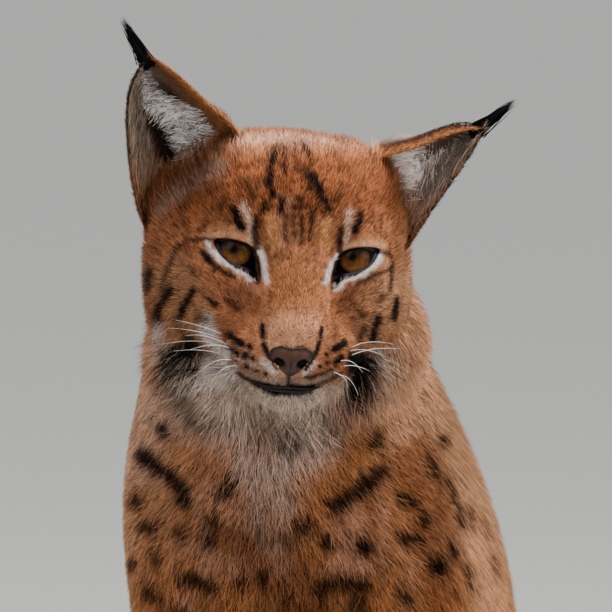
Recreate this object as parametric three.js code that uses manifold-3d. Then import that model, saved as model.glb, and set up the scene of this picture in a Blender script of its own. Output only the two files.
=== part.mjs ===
// Eurasian lynx, seated, life size. Millimetres, +Z up, floor at z = 0, the animal faces -Y, its left side is +X.
// The surface is the outline of the coat: smooth unions of egg shapes, cones and tubes give one skin,
// and every form below is a grid of points pushed out from the middle of its limb until it meets that skin.
import * as THREE from 'three';
import { mergeVertices } from 'three/addons/utils/BufferGeometryUtils.js';
import Module from 'manifold-3d';

// Driving sizes
const EYES = [42, -200, 728];        // point half way between the eyeballs
const HEAD_YAW = 20;                 // head turned to the animal's left, degrees
const HEAD_PITCH = 6;                // face dipped below level
const HEAD_ROLL = 3.8;               // head leaned to its left
const RUFF_SHIFT = -10;              // ruff sits to the right of the face's middle line
const ORIGIN = [3, 58, 0];           // middle of the footprint, moved to x = y = 0
const GAP = 0.35;                    // parting between neighbouring forms
const EYE_APART = 32.7;              // each eyeball from the middle line
const EYE_RADIUS = 14.5;
const EYE_DEPTH = 2;                 // eyeball's middle behind the line between the eyes
const LID_THICKNESS = 2.2;
const WELD = 1e-4;

const wasm = await Module();
wasm.setup();
const { Manifold, Mesh: SolidMesh } = wasm;

// Small vector helpers
const add = (a, b) => [a[0] + b[0], a[1] + b[1], a[2] + b[2]];
const sub = (a, b) => [a[0] - b[0], a[1] - b[1], a[2] - b[2]];
const scale = (a, s) => [a[0] * s, a[1] * s, a[2] * s];
const dot = (a, b) => a[0] * b[0] + a[1] * b[1] + a[2] * b[2];
const cross = (a, b) => [a[1] * b[2] - a[2] * b[1], a[2] * b[0] - a[0] * b[2], a[0] * b[1] - a[1] * b[0]];
const size = (a) => Math.sqrt(dot(a, a));
const unit = (a) => scale(a, 1 / size(a));
const clamp = THREE.MathUtils.clamp;
const mix = THREE.MathUtils.lerp;
const rad = THREE.MathUtils.degToRad;

// Head frame: x to the animal's left, y to the back of the head, z up
const headTurn = new THREE.Matrix4()
  .makeRotationZ(rad(HEAD_YAW))
  .multiply(new THREE.Matrix4().makeRotationX(rad(HEAD_PITCH)))
  .multiply(new THREE.Matrix4().makeRotationY(rad(HEAD_ROLL)));
const headPose = new THREE.Matrix4().makeTranslation(...EYES).multiply(headTurn);
const H = headTurn.elements;
const toHead = (p) => {
  const d = sub(p, EYES);
  return [
    d[0] * H[0] + d[1] * H[1] + d[2] * H[2],
    d[0] * H[4] + d[1] * H[5] + d[2] * H[6],
    d[0] * H[8] + d[1] * H[9] + d[2] * H[10],
  ];
};
const fromHead = (q) => new THREE.Vector3(...q).applyMatrix4(headPose).toArray();

// Distance to an egg shape, turned about x by a number of degrees
function egg(p, centre, radii, turn = 0) {
  let [x, y, z] = sub(p, centre);
  if (turn) {
    const c = Math.cos(rad(turn));
    const s = Math.sin(rad(turn));
    [y, z] = [y * c + z * s, z * c - y * s];
  }
  const [a, b, c] = radii;
  const k0 = Math.hypot(x / a, y / b, z / c) + 1e-6;
  const k1 = Math.hypot(x / (a * a), y / (b * b), z / (c * c)) + 1e-9;
  return (k0 * (k0 - 1)) / k1;
}

// The same on both sides of a middle plane at x = shift
const pair = (p, centre, radii, shift = 0) => egg([Math.abs(p[0] - shift), p[1], p[2]], centre, radii);

// Distance to a tapered round bar
function cone(p, a, b, ra, rb) {
  const axis = sub(b, a);
  const t = clamp(dot(sub(p, a), axis) / dot(axis, axis), 0, 1);
  return size(sub(p, add(a, scale(axis, t)))) - mix(ra, rb, t);
}

// Smooth union of two distances over a blend width k
function blend(a, b, k) {
  const h = clamp(0.5 + (0.5 * (b - a)) / k, 0, 1);
  return mix(b, a, h) - k * h * (1 - h);
}

// A smooth path through rows of x, y, z, half width, half depth
class Path {
  constructor(rows) {
    const last = rows.length - 1;
    const before = rows[0].map((v, i) => 2 * v - rows[1][i]);
    const after = rows[last].map((v, i) => 2 * v - rows[last - 1][i]);
    this.rows = [before, ...rows, after];
    this.spans = last;
    this.samples = [];
    for (let i = 0; i <= last * 5; i += 1) this.samples.push({ t: i / 5, at: this.at(i / 5)[0] });
  }
  // Value, slope and bend at t
  at(t) {
    const i = clamp(Math.floor(t), 0, this.spans - 1);
    const f = t - i;
    const [a, b, c, d] = this.rows.slice(i, i + 4);
    const value = [];
    const slope = [];
    const bend = [];
    for (let j = 0; j < a.length; j += 1) {
      const k1 = c[j] - a[j];
      const k2 = 2 * a[j] - 5 * b[j] + 4 * c[j] - d[j];
      const k3 = 3 * b[j] - 3 * c[j] + d[j] - a[j];
      value.push(0.5 * (2 * b[j] + k1 * f + k2 * f * f + k3 * f * f * f));
      slope.push(0.5 * (k1 + 2 * k2 * f + 3 * k3 * f * f));
      bend.push(0.5 * (2 * k2 + 6 * k3 * f));
    }
    return [value, slope, bend];
  }
  // Distance from p to a tube of elliptical section along the path
  distance(p) {
    let best = Infinity;
    let t = 0;
    for (const s of this.samples) {
      const d = sub(p, s.at);
      const square = dot(d, d);
      if (square < best) {
        best = square;
        t = s.t;
      }
    }
    for (let i = 0; i < 3; i += 1) {
      const [value, slope, bend] = this.at(t);
      const d = sub(value, p);
      const step = dot(d, slope) / (dot(slope, slope) + Math.max(dot(d, bend), 0));
      t = clamp(t - clamp(step, -0.2, 0.2), 0, this.spans);
    }
    const [v] = this.at(t);
    const k = Math.hypot((p[0] - v[0]) / v[3], Math.hypot(p[1] - v[1], p[2] - v[2]) / v[4]) + 1e-6;
    return (k - 1) * Math.min(v[3], v[4]);
  }
}

// Middle lines of the body: x, y, z, half width, half depth
const SPINE = new Path([
  [19, -128, 704, 62, 62], [14, -118, 682, 78, 72], [5, -106, 655, 80, 79], [-2, -62, 592, 95, 103], [2, -12, 510, 100, 122],
  [0, 44, 415, 99, 128], [0, 106, 310, 100, 121], [0, 160, 215, 100, 107], [0, 200, 140, 98, 96], [0, 226, 100, 84, 80],
]);
const FORELEG = new Path([
  [66, -74, 380, 38, 44], [64, -88, 300, 36, 40], [61, -104, 200, 30, 31], [57, -114, 115, 27, 27], [56, -120, 55, 30, 30],
]);
const SHIN = new Path([[98, 30, 200, 40, 44], [108, 84, 140, 36, 38], [104, 138, 80, 30, 32], [102, 172, 46, 28, 29]]);
const FOOT = new Path([[102, 176, 42, 28, 27], [105, 100, 31, 27, 27], [110, 10, 29, 31, 28], [112, -30, 28, 35, 27]]);
const TAIL = new Path([
  [0, 262, 88, 32, 38], [8, 314, 46, 25, 25], [48, 346, 27, 23, 24], [96, 350, 25, 24, 24], [134, 340, 25, 22, 22],
]);
const BRIDGE = new Path([[0, 14, 15, 20, 20], [0, -8, 3, 17.5, 18], [0, -33, -14, 19, 15], [0, -52, -30, 16, 11]]);
// Paths that only guide the rays, through the whole of a foreleg and its paw
const FORELEG_RAYS = new Path([
  [62, -88, 470, 1, 1], [66, -74, 380, 1, 1], [64, -88, 300, 1, 1], [61, -104, 200, 1, 1], [57, -114, 115, 1, 1],
  [56, -122, 60, 1, 1], [57, -136, 30, 1, 1],
]);

// Head in its own frame
function headShape(q) {
  const s = RUFF_SHIFT;
  let d = egg(q, [s * 0.5, 48, 8], [63, 60, 54]);                    // braincase
  d = blend(d, pair(q, [26, 42, 32], [24, 28, 27]), 12);             // crown in front of the ears
  d = blend(d, egg(q, [0, 22, 26], [42, 36, 33]), 20);               // forehead
  d = blend(d, pair(q, [27, 10, 17], [20, 17, 13]), 12);             // brows
  d = blend(d, pair(q, [43, 26, -18], [26, 32, 30], s * 0.95), 22);   // cheek bones
  d = blend(d, pair(q, [43, 40, -44], [26, 32, 34], s), 24);         // ruff over the jaw
  d = blend(d, pair(q, [51.5, 46, 2], [17, 28, 32], s * 1.35), 16);     // fur below the ears
  d = blend(d, pair(q, [33, 0, -26], [24, 24, 24]), 16);             // cheeks below the eyes
  d = blend(d, BRIDGE.distance(q), 12);
  d = blend(d, egg(q, [0, -22, -46], [34, 36, 25]), 14);             // muzzle
  d = blend(d, pair(q, [18, -37, -46], [19, 21, 16]), 8);            // whisker pads
  d = blend(d, egg(q, [0.5, -52, -43], [13, 11.5, 11]), 7);          // nose
  d = blend(d, egg(q, [0, -33, -66], [19, 19, 13]), 7);              // chin
  d = blend(d, egg(q, [s * 0.5, 12, -62], [40, 40, 22]), 18);        // throat
  const lid = EYE_RADIUS + LID_THICKNESS;
  return blend(d, pair(q, [EYE_APART, EYE_DEPTH, 0], [lid, lid, lid]), 5);
}
const THIGH = { middle: [80, 96, 190], radii: [52, 128, 108], turn: 10 };
const sided = (p) => [Math.abs(p[0]), p[1], p[2]];
const trunkShape = (p) => blend(SPINE.distance(p), egg(sided(p), [58, -56, 518], [37, 66, 112], 20), 26);
const thighShape = (p) => egg(sided(p), THIGH.middle, THIGH.radii, THIGH.turn);
const torsoShape = (p) => blend(trunkShape(p), thighShape(p), 30);
const TOES = [[-27, 8, 17], [-10, -4, 19], [9, -5, 19], [26, 6, 17]];
function toes(a, x, y) {
  let d = Infinity;
  for (const [dx, dy, r] of TOES) d = Math.min(d, egg(a, [x + dx, y + dy, r], [10.5, 22, r + 1]));
  return d;
}
function forelegShape(a) {
  let d = cone(a, [60, -88, 480], [66, -68, 375], 28, 38);
  d = blend(d, FORELEG.distance(a), 20);
  d = blend(d, egg(a, [57, -140, 26], [37, 48, 30]), 16);            // paw
  return blend(d, toes(a, 57, -170), 7);
}
const footShape = (a) => blend(blend(FOOT.distance(a), egg(a, [112, -30, 26], [36, 44, 28]), 12), toes(a, 112, -58), 7);
const hindShape = (a) => blend(SHIN.distance(a), footShape(a), 12);

// The whole coat
function coat(p) {
  const a = [Math.abs(p[0]), p[1], p[2]];
  let d = torsoShape(p);
  d = blend(d, forelegShape(a), 24);
  d = blend(d, hindShape(a), 16);
  d = blend(d, headShape(toHead(p)), 24);
  return blend(d, TAIL.distance(p), 18);
}

// First place along a ray where the distance turns positive
function reach(from, along, distance, most) {
  const step = 4;
  let far = step;
  while (far < most && distance(add(from, scale(along, far))) < 0) far += step;
  let near = far - step;
  for (let i = 0; i < 12; i += 1) {
    const middle = 0.5 * (near + far);
    if (distance(add(from, scale(along, middle))) < 0) near = middle;
    else far = middle;
  }
  return add(from, scale(along, near));
}

// Closed solid from a three.js geometry, wound outward
function solid(geometry) {
  const bare = new THREE.BufferGeometry();
  bare.setAttribute('position', geometry.getAttribute('position'));
  bare.setIndex(geometry.getIndex());
  const welded = mergeVertices(bare, WELD);
  const points = welded.getAttribute('position').array;
  const index = Array.from(welded.getIndex().array);
  let volume = 0;
  const corner = (i) => [points[3 * i], points[3 * i + 1], points[3 * i + 2]];
  const faces = [];
  for (let i = 0; i < index.length; i += 3) {
    const [a, b, c] = index.slice(i, i + 3);
    if (a !== b && b !== c && c !== a) {
      faces.push([a, b, c]);
      volume += dot(corner(a), cross(corner(b), corner(c)));
    }
  }
  const wound = volume > 0 ? faces : faces.map(([a, b, c]) => [a, c, b]);
  const mesh = new SolidMesh({
    numProp: 3,
    vertProperties: Float32Array.from(points),
    triVerts: Uint32Array.from(wound.flat()),
  });
  return new Manifold(mesh);
}

// Ball grid whose points are laid by a function of u (round) and v (end to end).
// Its second half is split the other way, so both faces of a thin form bend alike.
function laid(around, along, place) {
  const ball = new THREE.SphereGeometry(1, around, along);
  const index = ball.getIndex();
  const perBand = 6 * around;
  for (let row = 1; row < along - 1; row += 1) {
    for (let column = Math.ceil(around / 2); column < around; column += 1) {
      const at = 3 * around + (row - 1) * perBand + 6 * column;
      const [a, b, d] = [index.getX(at), index.getX(at + 1), index.getX(at + 2)];
      const c = index.getX(at + 4);
      [a, b, c, a, c, d].forEach((corner, i) => index.setX(at + i, corner));
    }
  }
  const uv = ball.getAttribute('uv');
  const position = ball.getAttribute('position');
  for (let i = 0; i < position.count; i += 1) {
    const row = Math.floor(i / (around + 1));
    const column = i % (around + 1);
    const u = row === 0 || row === along ? 0 : (column % around) / around;
    position.setXYZ(i, ...place(u, 1 - uv.getY(i)));
  }
  return ball;
}

// Limb: rays leave a path square to it, and fan out over a half ball at both ends
function limb(path, [from, to], around, along, distance, endShare = 0.16, level = [1, 0, 0]) {
  const place = (u, v) => {
    const t = mix(from, to, clamp((v - endShare) / (1 - 2 * endShare), 0, 1));
    const [value, slope] = path.at(t);
    const tangent = unit(slope);
    const side = unit(sub(level, scale(tangent, dot(tangent, level))));
    const other = cross(tangent, side);
    const angle = 2 * Math.PI * u;
    const out = add(scale(side, Math.cos(angle)), scale(other, Math.sin(angle)));
    let tilt = 0;
    if (v < endShare) tilt = -(1 - v / endShare) * 0.5 * Math.PI;
    if (v > 1 - endShare) tilt = (1 - (1 - v) / endShare) * 0.5 * Math.PI;
    const ray = add(scale(out, Math.cos(tilt)), scale(tangent, Math.sin(tilt)));
    return reach(value.slice(0, 3), ray, distance, 260);
  };
  return laid(around, along, place);
}

// Both sides of the body from the left one
function flipped(geometry) {
  const copy = geometry.clone();
  copy.scale(-1, 1, 1);
  return copy;
}

const within = (shape, most) => (p) => Math.max(coat(p), shape(p) - most);

// Head: rays from the middle of the skull, closest together on the face
const HEAD_MIDDLE = [-3, 10, -16];
const headDistance = (p) => headShape(toHead(p));
const headGrid = (around, along, distance) => laid(around, along, (u, v) => {
  const polar = Math.PI * mix(v, v * v, 0.35);
  const angle = 2 * Math.PI * u;
  const ray = [Math.sin(polar) * Math.sin(angle), -Math.cos(polar), Math.sin(polar) * Math.cos(angle)];
  const from = fromHead(HEAD_MIDDLE);
  return reach(from, unit(sub(fromHead(add(HEAD_MIDDLE, ray)), from)), distance, 150);
});

// Ears: two sheets of half ellipses between the inner and outer edge, closed at the root and the tip
const EARS = {
  right: {
    inner: [[-26, 40, 44], [-36, 33, 64], [-54, 30, 79], [-71, 33, 93], [-88, 40, 102.5]],
    outer: [[-78, 38, -8], [-88.5, 30, 16], [-95.5, 31, 45], [-97.5, 35, 77], [-88, 40, 102.5]],
    back: [[-56, 74, 22], [-65, 72, 44], [-76, 67, 67], [-86, 56, 87], [-89, 42, 102.5]],
  },
  left: {
    inner: [[32, 44, 38], [43, 36, 52], [62, 38, 59], [83, 48, 67], [105, 60, 69.5]],
    outer: [[48, 40, -22], [63, 35, 0], [77, 38, 24], [94, 48, 50], [105, 60, 69.5]],
    back: [[44, 80, 27], [58, 76, 40], [74, 76, 53], [91, 70, 66], [105, 62, 70]],
  },
};
const EAR_WALL = 5;
function earGeometry({ inner, outer, back }) {
  const [a, b, c] = [inner, back, outer].map((rows) => new Path(rows));
  const root = scale(add(add(inner[0], outer[0]), back[0]), 1 / 3);
  return laid(18, 11, (u, v) => {
    const t = clamp((v - 0.06) / 0.94, 0, 1) * 4;
    const [edge, ridge, rim] = [a, b, c].map((path) => path.at(t)[0]);
    const middle = scale(add(edge, rim), 0.5);
    if (v < 0.03) return fromHead(add(root, [0, 0, -6]));
    const angle = 2 * Math.PI * u;
    const depth = sub(ridge, middle);
    const hollow = Math.max(size(depth) - EAR_WALL, size(depth) * 0.2) / size(depth);
    const bulge = Math.sin(angle) > 0 ? Math.sin(angle) : -Math.sin(angle) * hollow;
    return fromHead(add(middle, add(scale(sub(edge, middle), Math.cos(angle)), scale(depth, bulge))));
  });
}

// Thin slab for a parting cut: middle, face direction and the two half sides
function slab(middle, facing, halfWide, halfTall, thickness = GAP) {
  const box = new THREE.BoxGeometry(2 * halfWide, 2 * halfTall, thickness);
  const up = new THREE.Vector3(0, 0, 1);
  const turn = new THREE.Quaternion().setFromUnitVectors(up, new THREE.Vector3(...unit(facing)));
  box.applyQuaternion(turn);
  box.translate(...middle);
  return solid(box);
}
const both = (make) => [make(1), make(-1)];

// The body as one solid
const collar = (p) => Math.max(blend(trunkShape(p), headDistance(p), 24), trunkShape(p) - 12);
const torsoGeometry = limb(SPINE, [0, 9], 26, 26, collar, 0.1);
const headGeometry = headGrid(40, 26, headDistance);
const forelegGeometry = limb(FORELEG_RAYS, [0, 6], 16, 22, within(forelegShape, 8), 0.2);
const haunch = (p) => Math.max(torsoShape(p), thighShape(p) - 30);
const thighGeometry = laid(20, 12, (u, v) => {
  const polar = Math.PI * v;
  const angle = 2 * Math.PI * u;
  const ray = [Math.sin(polar) * Math.sin(angle), -Math.cos(polar), Math.sin(polar) * Math.cos(angle)];
  const stretched = ray.map((share, i) => share * THIGH.radii[i]);
  return reach(THIGH.middle, unit(stretched), haunch, 200);
});
const shinGeometry = limb(SHIN, [0, 3], 14, 10, (p) => SHIN.distance(p), 0.25);
const footGeometry = limb(FOOT, [0, 3], 14, 16, footShape, 0.22);
const tailGeometry = limb(TAIL, [0, 4], 12, 14, (p) => TAIL.distance(p), 0.2, [0, 0, 1]);
let body = solid(torsoGeometry).add(solid(headGeometry)).add(solid(tailGeometry));
for (const geometry of [forelegGeometry, thighGeometry, shinGeometry, footGeometry]) {
  body = body.add(solid(geometry)).add(solid(flipped(geometry)));
}
for (const ear of Object.values(EARS)) body = body.add(solid(earGeometry(ear)));

// Locks of the long fur: flat, tapered, bent blades rooted in the surface
let seed = 7;
const random = () => {
  seed = (seed * 48271) % 2147483647;
  return seed / 2147483647;
};
const vary = (share) => 1 + share * (2 * random() - 1);
function lock(root, outward, lie, long, wide, thick, rise = 0.3) {
  const out = unit(outward);
  const flow = unit(sub(lie, scale(out, dot(lie, out) * 0.7)));
  const across = unit(cross(flow, out));
  return solid(laid(4, 5, (u, v) => {
    const run = mix(-0.3, 1, Math.pow(v, 0.85));
    const lift = rise * run * (1 - 0.6 * run);
    const middle = add(root, add(scale(flow, long * run), scale(out, long * lift)));
    const fullness = Math.sin(Math.PI * Math.pow(v, 0.62)) * (1 - 0.15 * v);
    const angle = 2 * Math.PI * u;
    const w = 0.5 * wide * fullness * Math.cos(angle);
    const t = 0.5 * thick * fullness * Math.sin(angle);
    return add(middle, add(scale(across, w), scale(out, t)));
  }));
}
// Outward direction of the coat at a point
function facing(distance, p) {
  const e = 0.5;
  return unit([0, 1, 2].map((i) => {
    const step = [0, 0, 0];
    step[i] = e;
    return distance(add(p, step)) - distance(sub(p, step));
  }));
}
// A row of locks: its line is a path of x, y, z, length and width, pushed out from a middle point to the coat
function row(line, count, middle, lie, thick, toWorld = (p) => p) {
  const path = new Path(line);
  const from = toWorld(middle);
  const made = [];
  for (let i = 0; i < count; i += 1) {
    const t = ((i + 0.5 + 0.5 * (random() - 0.5)) / count) * path.spans;
    const [at] = path.at(t);
    const target = toWorld(at.slice(0, 3));
    const root = reach(from, unit(sub(target, from)), coat, 260);
    const way = sub(toWorld(add(middle, lie(at, t / path.spans))), from);
    made.push(lock(root, facing(coat, root), way, at[3] * vary(0.18), at[4] * vary(0.15), thick));
  }
  return made;
}
const RUFF_MIDDLE = [-8, 34, -30];
const RUFF_ROWS = [
  { count: 7, rows: [[20, -4, -78, 26, 15], [38, 12, -80, 36, 19], [54, 30, -66, 42, 21], [61, 42, -46, 32, 18]] },
  { count: 6, rows: [[18, 16, -84, 30, 18], [38, 32, -84, 40, 21], [56, 48, -64, 42, 21], [62, 54, -48, 32, 18]] },
];
const locks = [];
for (const { count, rows } of RUFF_ROWS) {
  for (const side of [1, -1]) {
    const line = rows.map(([x, y, z, long, wide]) => [side * x + RUFF_SHIFT, y, z, long, wide]);
    const lie = (at, t) => [side * mix(0.1, 0.45, t), mix(0.25, 0.7, t), -1];
    locks.push(...row(line, count, RUFF_MIDDLE, lie, 5, fromHead));
  }
}
// Bib and chest, in rows from side to side
const CHEST_ROWS = [
  { z: 640, half: 44, count: 5, long: 38 }, { z: 600, half: 56, count: 5, long: 42 }, { z: 556, half: 56, count: 5, long: 42 },
  { z: 508, half: 50, count: 5, long: 42 }, { z: 460, half: 34, count: 3, long: 42 },
];
for (const { z, half, count, long } of CHEST_ROWS) {
  const middle = [4, -20, z + 20];
  const line = [-1, -0.5, 0, 0.5, 1].map((s) => [s * half + 4, -200 + 60 * s * s, z, long, 20]);
  locks.push(...row(line, count, middle, () => [0, -0.08, -1], 6));
}
// Black tufts on the tips of the ears
const TUFT_LENGTH = 24;
const TUFTS = {
  right: { tip: [-90, 40, 100], lie: [-0.55, 0.1, 0.83] },
  left: { tip: [101, 60, 68.5], lie: [0.75, 0.2, 0.63] },
};
for (const { tip, lie } of Object.values(TUFTS)) {
  for (let i = 0; i < 4; i += 1) {
    const turn = (i / 4) * 2 * Math.PI;
    const side = unit(cross(lie, [0, 1, 0]));
    const out = add(scale(side, Math.cos(turn)), scale(unit(cross(lie, side)), Math.sin(turn)));
    const root = fromHead(add(tip, scale(out, 0.9)));
    const ends = [out, lie].map((v) => sub(fromHead(v), EYES));
    locks.push(lock(root, ends[0], ends[1], TUFT_LENGTH * (i ? vary(0.12) * 0.8 : 1), 6, 3.6, 0.1));
  }
}
body = locks.reduce((whole, one) => whole.add(one), body);

// Flat soles on the floor
const below = new THREE.BoxGeometry(1000, 1000, 100);
below.translate(0, 0, -50);
body = body.subtract(solid(below));

// Upright bar through the face with an outline in the head's x and z
function bar(outline, fromY, toY) {
  const shape = new THREE.Shape(outline.map(([x, z]) => new THREE.Vector2(x, z)));
  const geometry = new THREE.ExtrudeGeometry(shape, { depth: toY - fromY, bevelEnabled: false });
  geometry.rotateX(0.5 * Math.PI);
  geometry.translate(0, toY, 0);
  geometry.applyMatrix4(headPose);
  return solid(geometry);
}

// Eyeballs, their sockets and the slits between the lids
function ball(centre, radius, around = 16, along = 10) {
  const geometry = new THREE.SphereGeometry(radius, around, along);
  geometry.rotateX(0.5 * Math.PI);
  geometry.translate(...fromHead(centre));
  return solid(geometry);
}
const eyes = both((side) => ball([side * EYE_APART, EYE_DEPTH, 0], EYE_RADIUS));
for (const side of [1, -1]) body = body.subtract(ball([side * EYE_APART, EYE_DEPTH, 0], EYE_RADIUS + GAP));
// Outline of the slit between the lids: away from the nose, up
const SLIT = [
  [-12.4, -12], [-12, -7], [-11.2, -1.5], [-9.8, 3.2], [-6, 6.8], [-1.2, 8.5], [4, 9.1], [8, 8.8], [12, 7.2],
  [10, 3.4], [5.6, -0.4], [0, -3.5], [-5, -5.4], [-8.6, -7.4], [-10.8, -10],
];
const slits = both((side) => bar(SLIT.map(([x, z]) => [side * (x + EYE_APART), z]), -26, 0));
for (const slit of slits) body = body.subtract(slit);

// Nose pad outline seen from the front, the line of the mouth and the nostrils, in the head's x and z
const NOSE = [[0, -37.6], [6.5, -37], [11.4, -39.4], [11.6, -43.4], [8, -48], [3.6, -51.6], [0, -54]];
const MOUTH = [[0, -57], [6.5, -62.4], [12, -63.4], [18, -61.8], [26, -58], [31.5, -54.4]];
const GROOVE_WIDTH = 1.6;
const GROOVE_DEPTH = 4;
const NOSTRIL = [6, -59.5, -45.2];
const whole = (half) => [...half, ...half.slice(1, -1).reverse().map(([x, z]) => [-x, z])];
const inside = solid(headGrid(30, 20, (p) => headDistance(p) + GROOVE_DEPTH));
const lips = [...MOUTH.slice(1).reverse().map(([x, z]) => [-x, z]), ...MOUTH];
const upperLip = lips.map(([x, z]) => [x, z + 0.5 * GROOVE_WIDTH]);
const lowerLip = lips.map(([x, z]) => [x, z - 0.5 * GROOVE_WIDTH]).reverse();
const groove = [...upperLip, ...lowerLip];
body = body.subtract(bar(groove, -80, -24).subtract(inside));
for (const side of [1, -1]) {
  const hole = new THREE.SphereGeometry(1, 10, 8);
  hole.scale(3.4, 4.5, 2);
  hole.rotateY(side * rad(25));
  hole.translate(side * NOSTRIL[0] + 0.5, NOSTRIL[1] - 2.5, NOSTRIL[2]);
  hole.applyMatrix4(headPose);
  body = body.subtract(solid(hole));
}
const pad = bar(whole(NOSE).map(([x, z]) => [x + 0.5, z]), -80, -46);
const padCut = bar(whole(NOSE).map(([x, z]) => [x * 1.035 + 0.5, (z + 45) * 1.05 - 45]), -80, -46 + GAP);
const nose = body.intersect(pad);
body = body.subtract(padCut);

// Parting cuts
function earCut({ inner, outer, back }) {
  const [a, b, c] = [inner[1], new Path(outer).at(1.6)[0], back[1]].map(fromHead);
  return slab(scale(add(add(a, b), c), 1 / 3), cross(sub(b, a), sub(c, a)), 48, 48);
}
const CUTS = [
  slab(fromHead([0, 58, -34]), sub(fromHead([0, 0.8, -0.6]), fromHead([0, 0, 0])), 130, 130),
  slab([0, -84, 612], [0, -0.55, 0.84], 150, 150),
  slab([0, 286, 66], [0, 0.75, -0.66], 60, 60),
  ...both((side) => slab([side * 80, -83, 336], [0, 0.48, 0.88], 63, 57)),
  ...both((side) => slab([side * 78, 141, 163], [1 * side, 0, -0.14], 186, 179)),
  ...Object.values(EARS).map(earCut),
];
for (const cut of CUTS) body = body.subtract(cut);

// Each piece is known by a point in it or close to it
const PROBE = 6;
const ANCHORS = {
  head: fromHead([0, 40, 0]),
  ear_left: fromHead(EARS.left.back[2]),
  ear_right: fromHead(EARS.right.back[2]),
  neck: [5, -100, 650],
  torso: [0, 40, 415],
  foreleg_left: [61, -104, 200],
  foreleg_right: [-61, -104, 200],
  hindleg_left: [106, 84, 140],
  hindleg_right: [-106, 84, 140],
  tail: [48, 346, 27],
};
const COLOURS = {
  head: '#a9683a', nose: '#6a4638', ear_left: '#8c5c3c', ear_right: '#8c5c3c', neck: '#b07a4e', torso: '#a66a40',
  foreleg_left: '#b3794d', foreleg_right: '#b3794d', hindleg_left: '#a76d43', hindleg_right: '#a76d43', tail: '#8f5c3a',
  eye_left: '#8a5c1a', eye_right: '#8a5c1a',
};
const part = new THREE.Group();
part.name = 'eurasian_lynx';
function named(name, manifold, roughness = 0.85) {
  const mesh = manifold.getMesh();
  const geometry = new THREE.BufferGeometry();
  geometry.setAttribute('position', new THREE.BufferAttribute(Float32Array.from(mesh.vertProperties), 3));
  geometry.setIndex(Array.from(mesh.triVerts));
  geometry.translate(-ORIGIN[0], -ORIGIN[1], -ORIGIN[2]);
  const material = new THREE.MeshStandardMaterial({ color: COLOURS[name], roughness, metalness: 0 });
  const item = new THREE.Mesh(geometry, material);
  item.name = name;
  part.add(item);
}
const pieces = body.decompose();
for (const [name, at] of Object.entries(ANCHORS)) {
  const probe = new THREE.SphereGeometry(PROBE, 8, 6);
  probe.translate(...at);
  const seed = solid(probe);
  const share = (candidate) => candidate.intersect(seed).volume();
  const piece = pieces.reduce((best, candidate) => (share(candidate) > share(best) ? candidate : best));
  named(name, piece);
}
named('nose', nose, 0.5);
named('eye_left', eyes[0], 0.1);
named('eye_right', eyes[1], 0.1);
export default part;
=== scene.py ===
"""Eurasian lynx, seated and life size: skin, coat, eyes, nose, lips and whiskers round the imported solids.

Shapes are worked out in millimetres in the body's own frame (floor at z = 0, the animal faces -Y, its left
side is +X) and laid into the meshes in metres. The skin lies under the outline of the coat by a share of the
hair's length, and every tuft is a closed, thin cone that grows from the skin along the lie of the coat.
"""
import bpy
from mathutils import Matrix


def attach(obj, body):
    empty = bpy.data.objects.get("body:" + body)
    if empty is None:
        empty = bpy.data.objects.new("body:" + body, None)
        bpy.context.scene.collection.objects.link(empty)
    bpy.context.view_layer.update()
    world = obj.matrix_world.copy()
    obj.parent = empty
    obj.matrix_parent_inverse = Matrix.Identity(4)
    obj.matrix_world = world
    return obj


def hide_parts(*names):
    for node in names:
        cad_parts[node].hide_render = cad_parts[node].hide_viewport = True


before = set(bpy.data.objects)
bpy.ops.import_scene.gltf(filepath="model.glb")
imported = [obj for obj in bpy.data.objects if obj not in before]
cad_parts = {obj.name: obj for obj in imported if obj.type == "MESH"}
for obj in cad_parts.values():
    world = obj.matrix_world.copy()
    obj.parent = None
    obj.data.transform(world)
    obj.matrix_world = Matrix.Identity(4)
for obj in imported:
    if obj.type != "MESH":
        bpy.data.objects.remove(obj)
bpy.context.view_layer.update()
from concurrent.futures import ThreadPoolExecutor
import bpy
import numpy as np

F = np.float32
MM = 0.001                                # millimetres to metres
ORIGIN = np.array([3, 58, 0], F)          # middle of the footprint, which lies at x = y = 0
EYES = np.array([42, -200, 728], F)       # point half way between the eyeballs
HEAD_YAW, HEAD_PITCH, HEAD_ROLL = 20.0, 6.0, 3.8
RUFF_SHIFT = -10.0                        # ruff sits to the right of the face's middle line
EYE_APART, EYE_RADIUS, EYE_DEPTH = 32.7, 14.5, 2.0    # eyeball: off to the side, its radius, behind EYES
LID_THICKNESS = 2.2

# Camera: direction and distance to the face, and the size of a photo pixel at the face
CAMERA_AZIMUTH, CAMERA_ELEVATION = 18.0, 6.0
CAMERA_DISTANCE = 4500.0
PIXEL = 0.55                              # millimetres
PHOTO = 612                               # pixels on each side
EYES_IN_PHOTO = (295.5, 258.0)


# Small helpers
def turn(axis, degrees):
    """Rotation by an angle about the x, y or z axis"""
    c, s = np.cos(np.radians(degrees)), np.sin(np.radians(degrees))
    rows = {
        "x": [[1, 0, 0], [0, c, -s], [0, s, c]],
        "y": [[c, 0, s], [0, 1, 0], [-s, 0, c]],
        "z": [[c, -s, 0], [s, c, 0], [0, 0, 1]],
    }
    return np.array(rows[axis], F)


HEAD_TURN = turn("z", HEAD_YAW) @ turn("x", HEAD_PITCH) @ turn("y", HEAD_ROLL)


def to_head(p):
    """Place in the head's frame: x to the animal's left, y to the back of the head, z up"""
    return (np.asarray(p, F) - EYES) @ HEAD_TURN


def from_head(q):
    """Place in the body's frame of a point given in the head's frame"""
    return np.asarray(q, F) @ HEAD_TURN.T + EYES


def clip01(v):
    return np.clip(v, 0, 1)


def ramp(v, low, high):
    """0 below low, 1 above high and a smooth step between them"""
    t = clip01((v - low) / (high - low))
    return t * t * (3 - 2 * t)


def mix(a, b, t):
    return a + (b - a) * t


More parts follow.
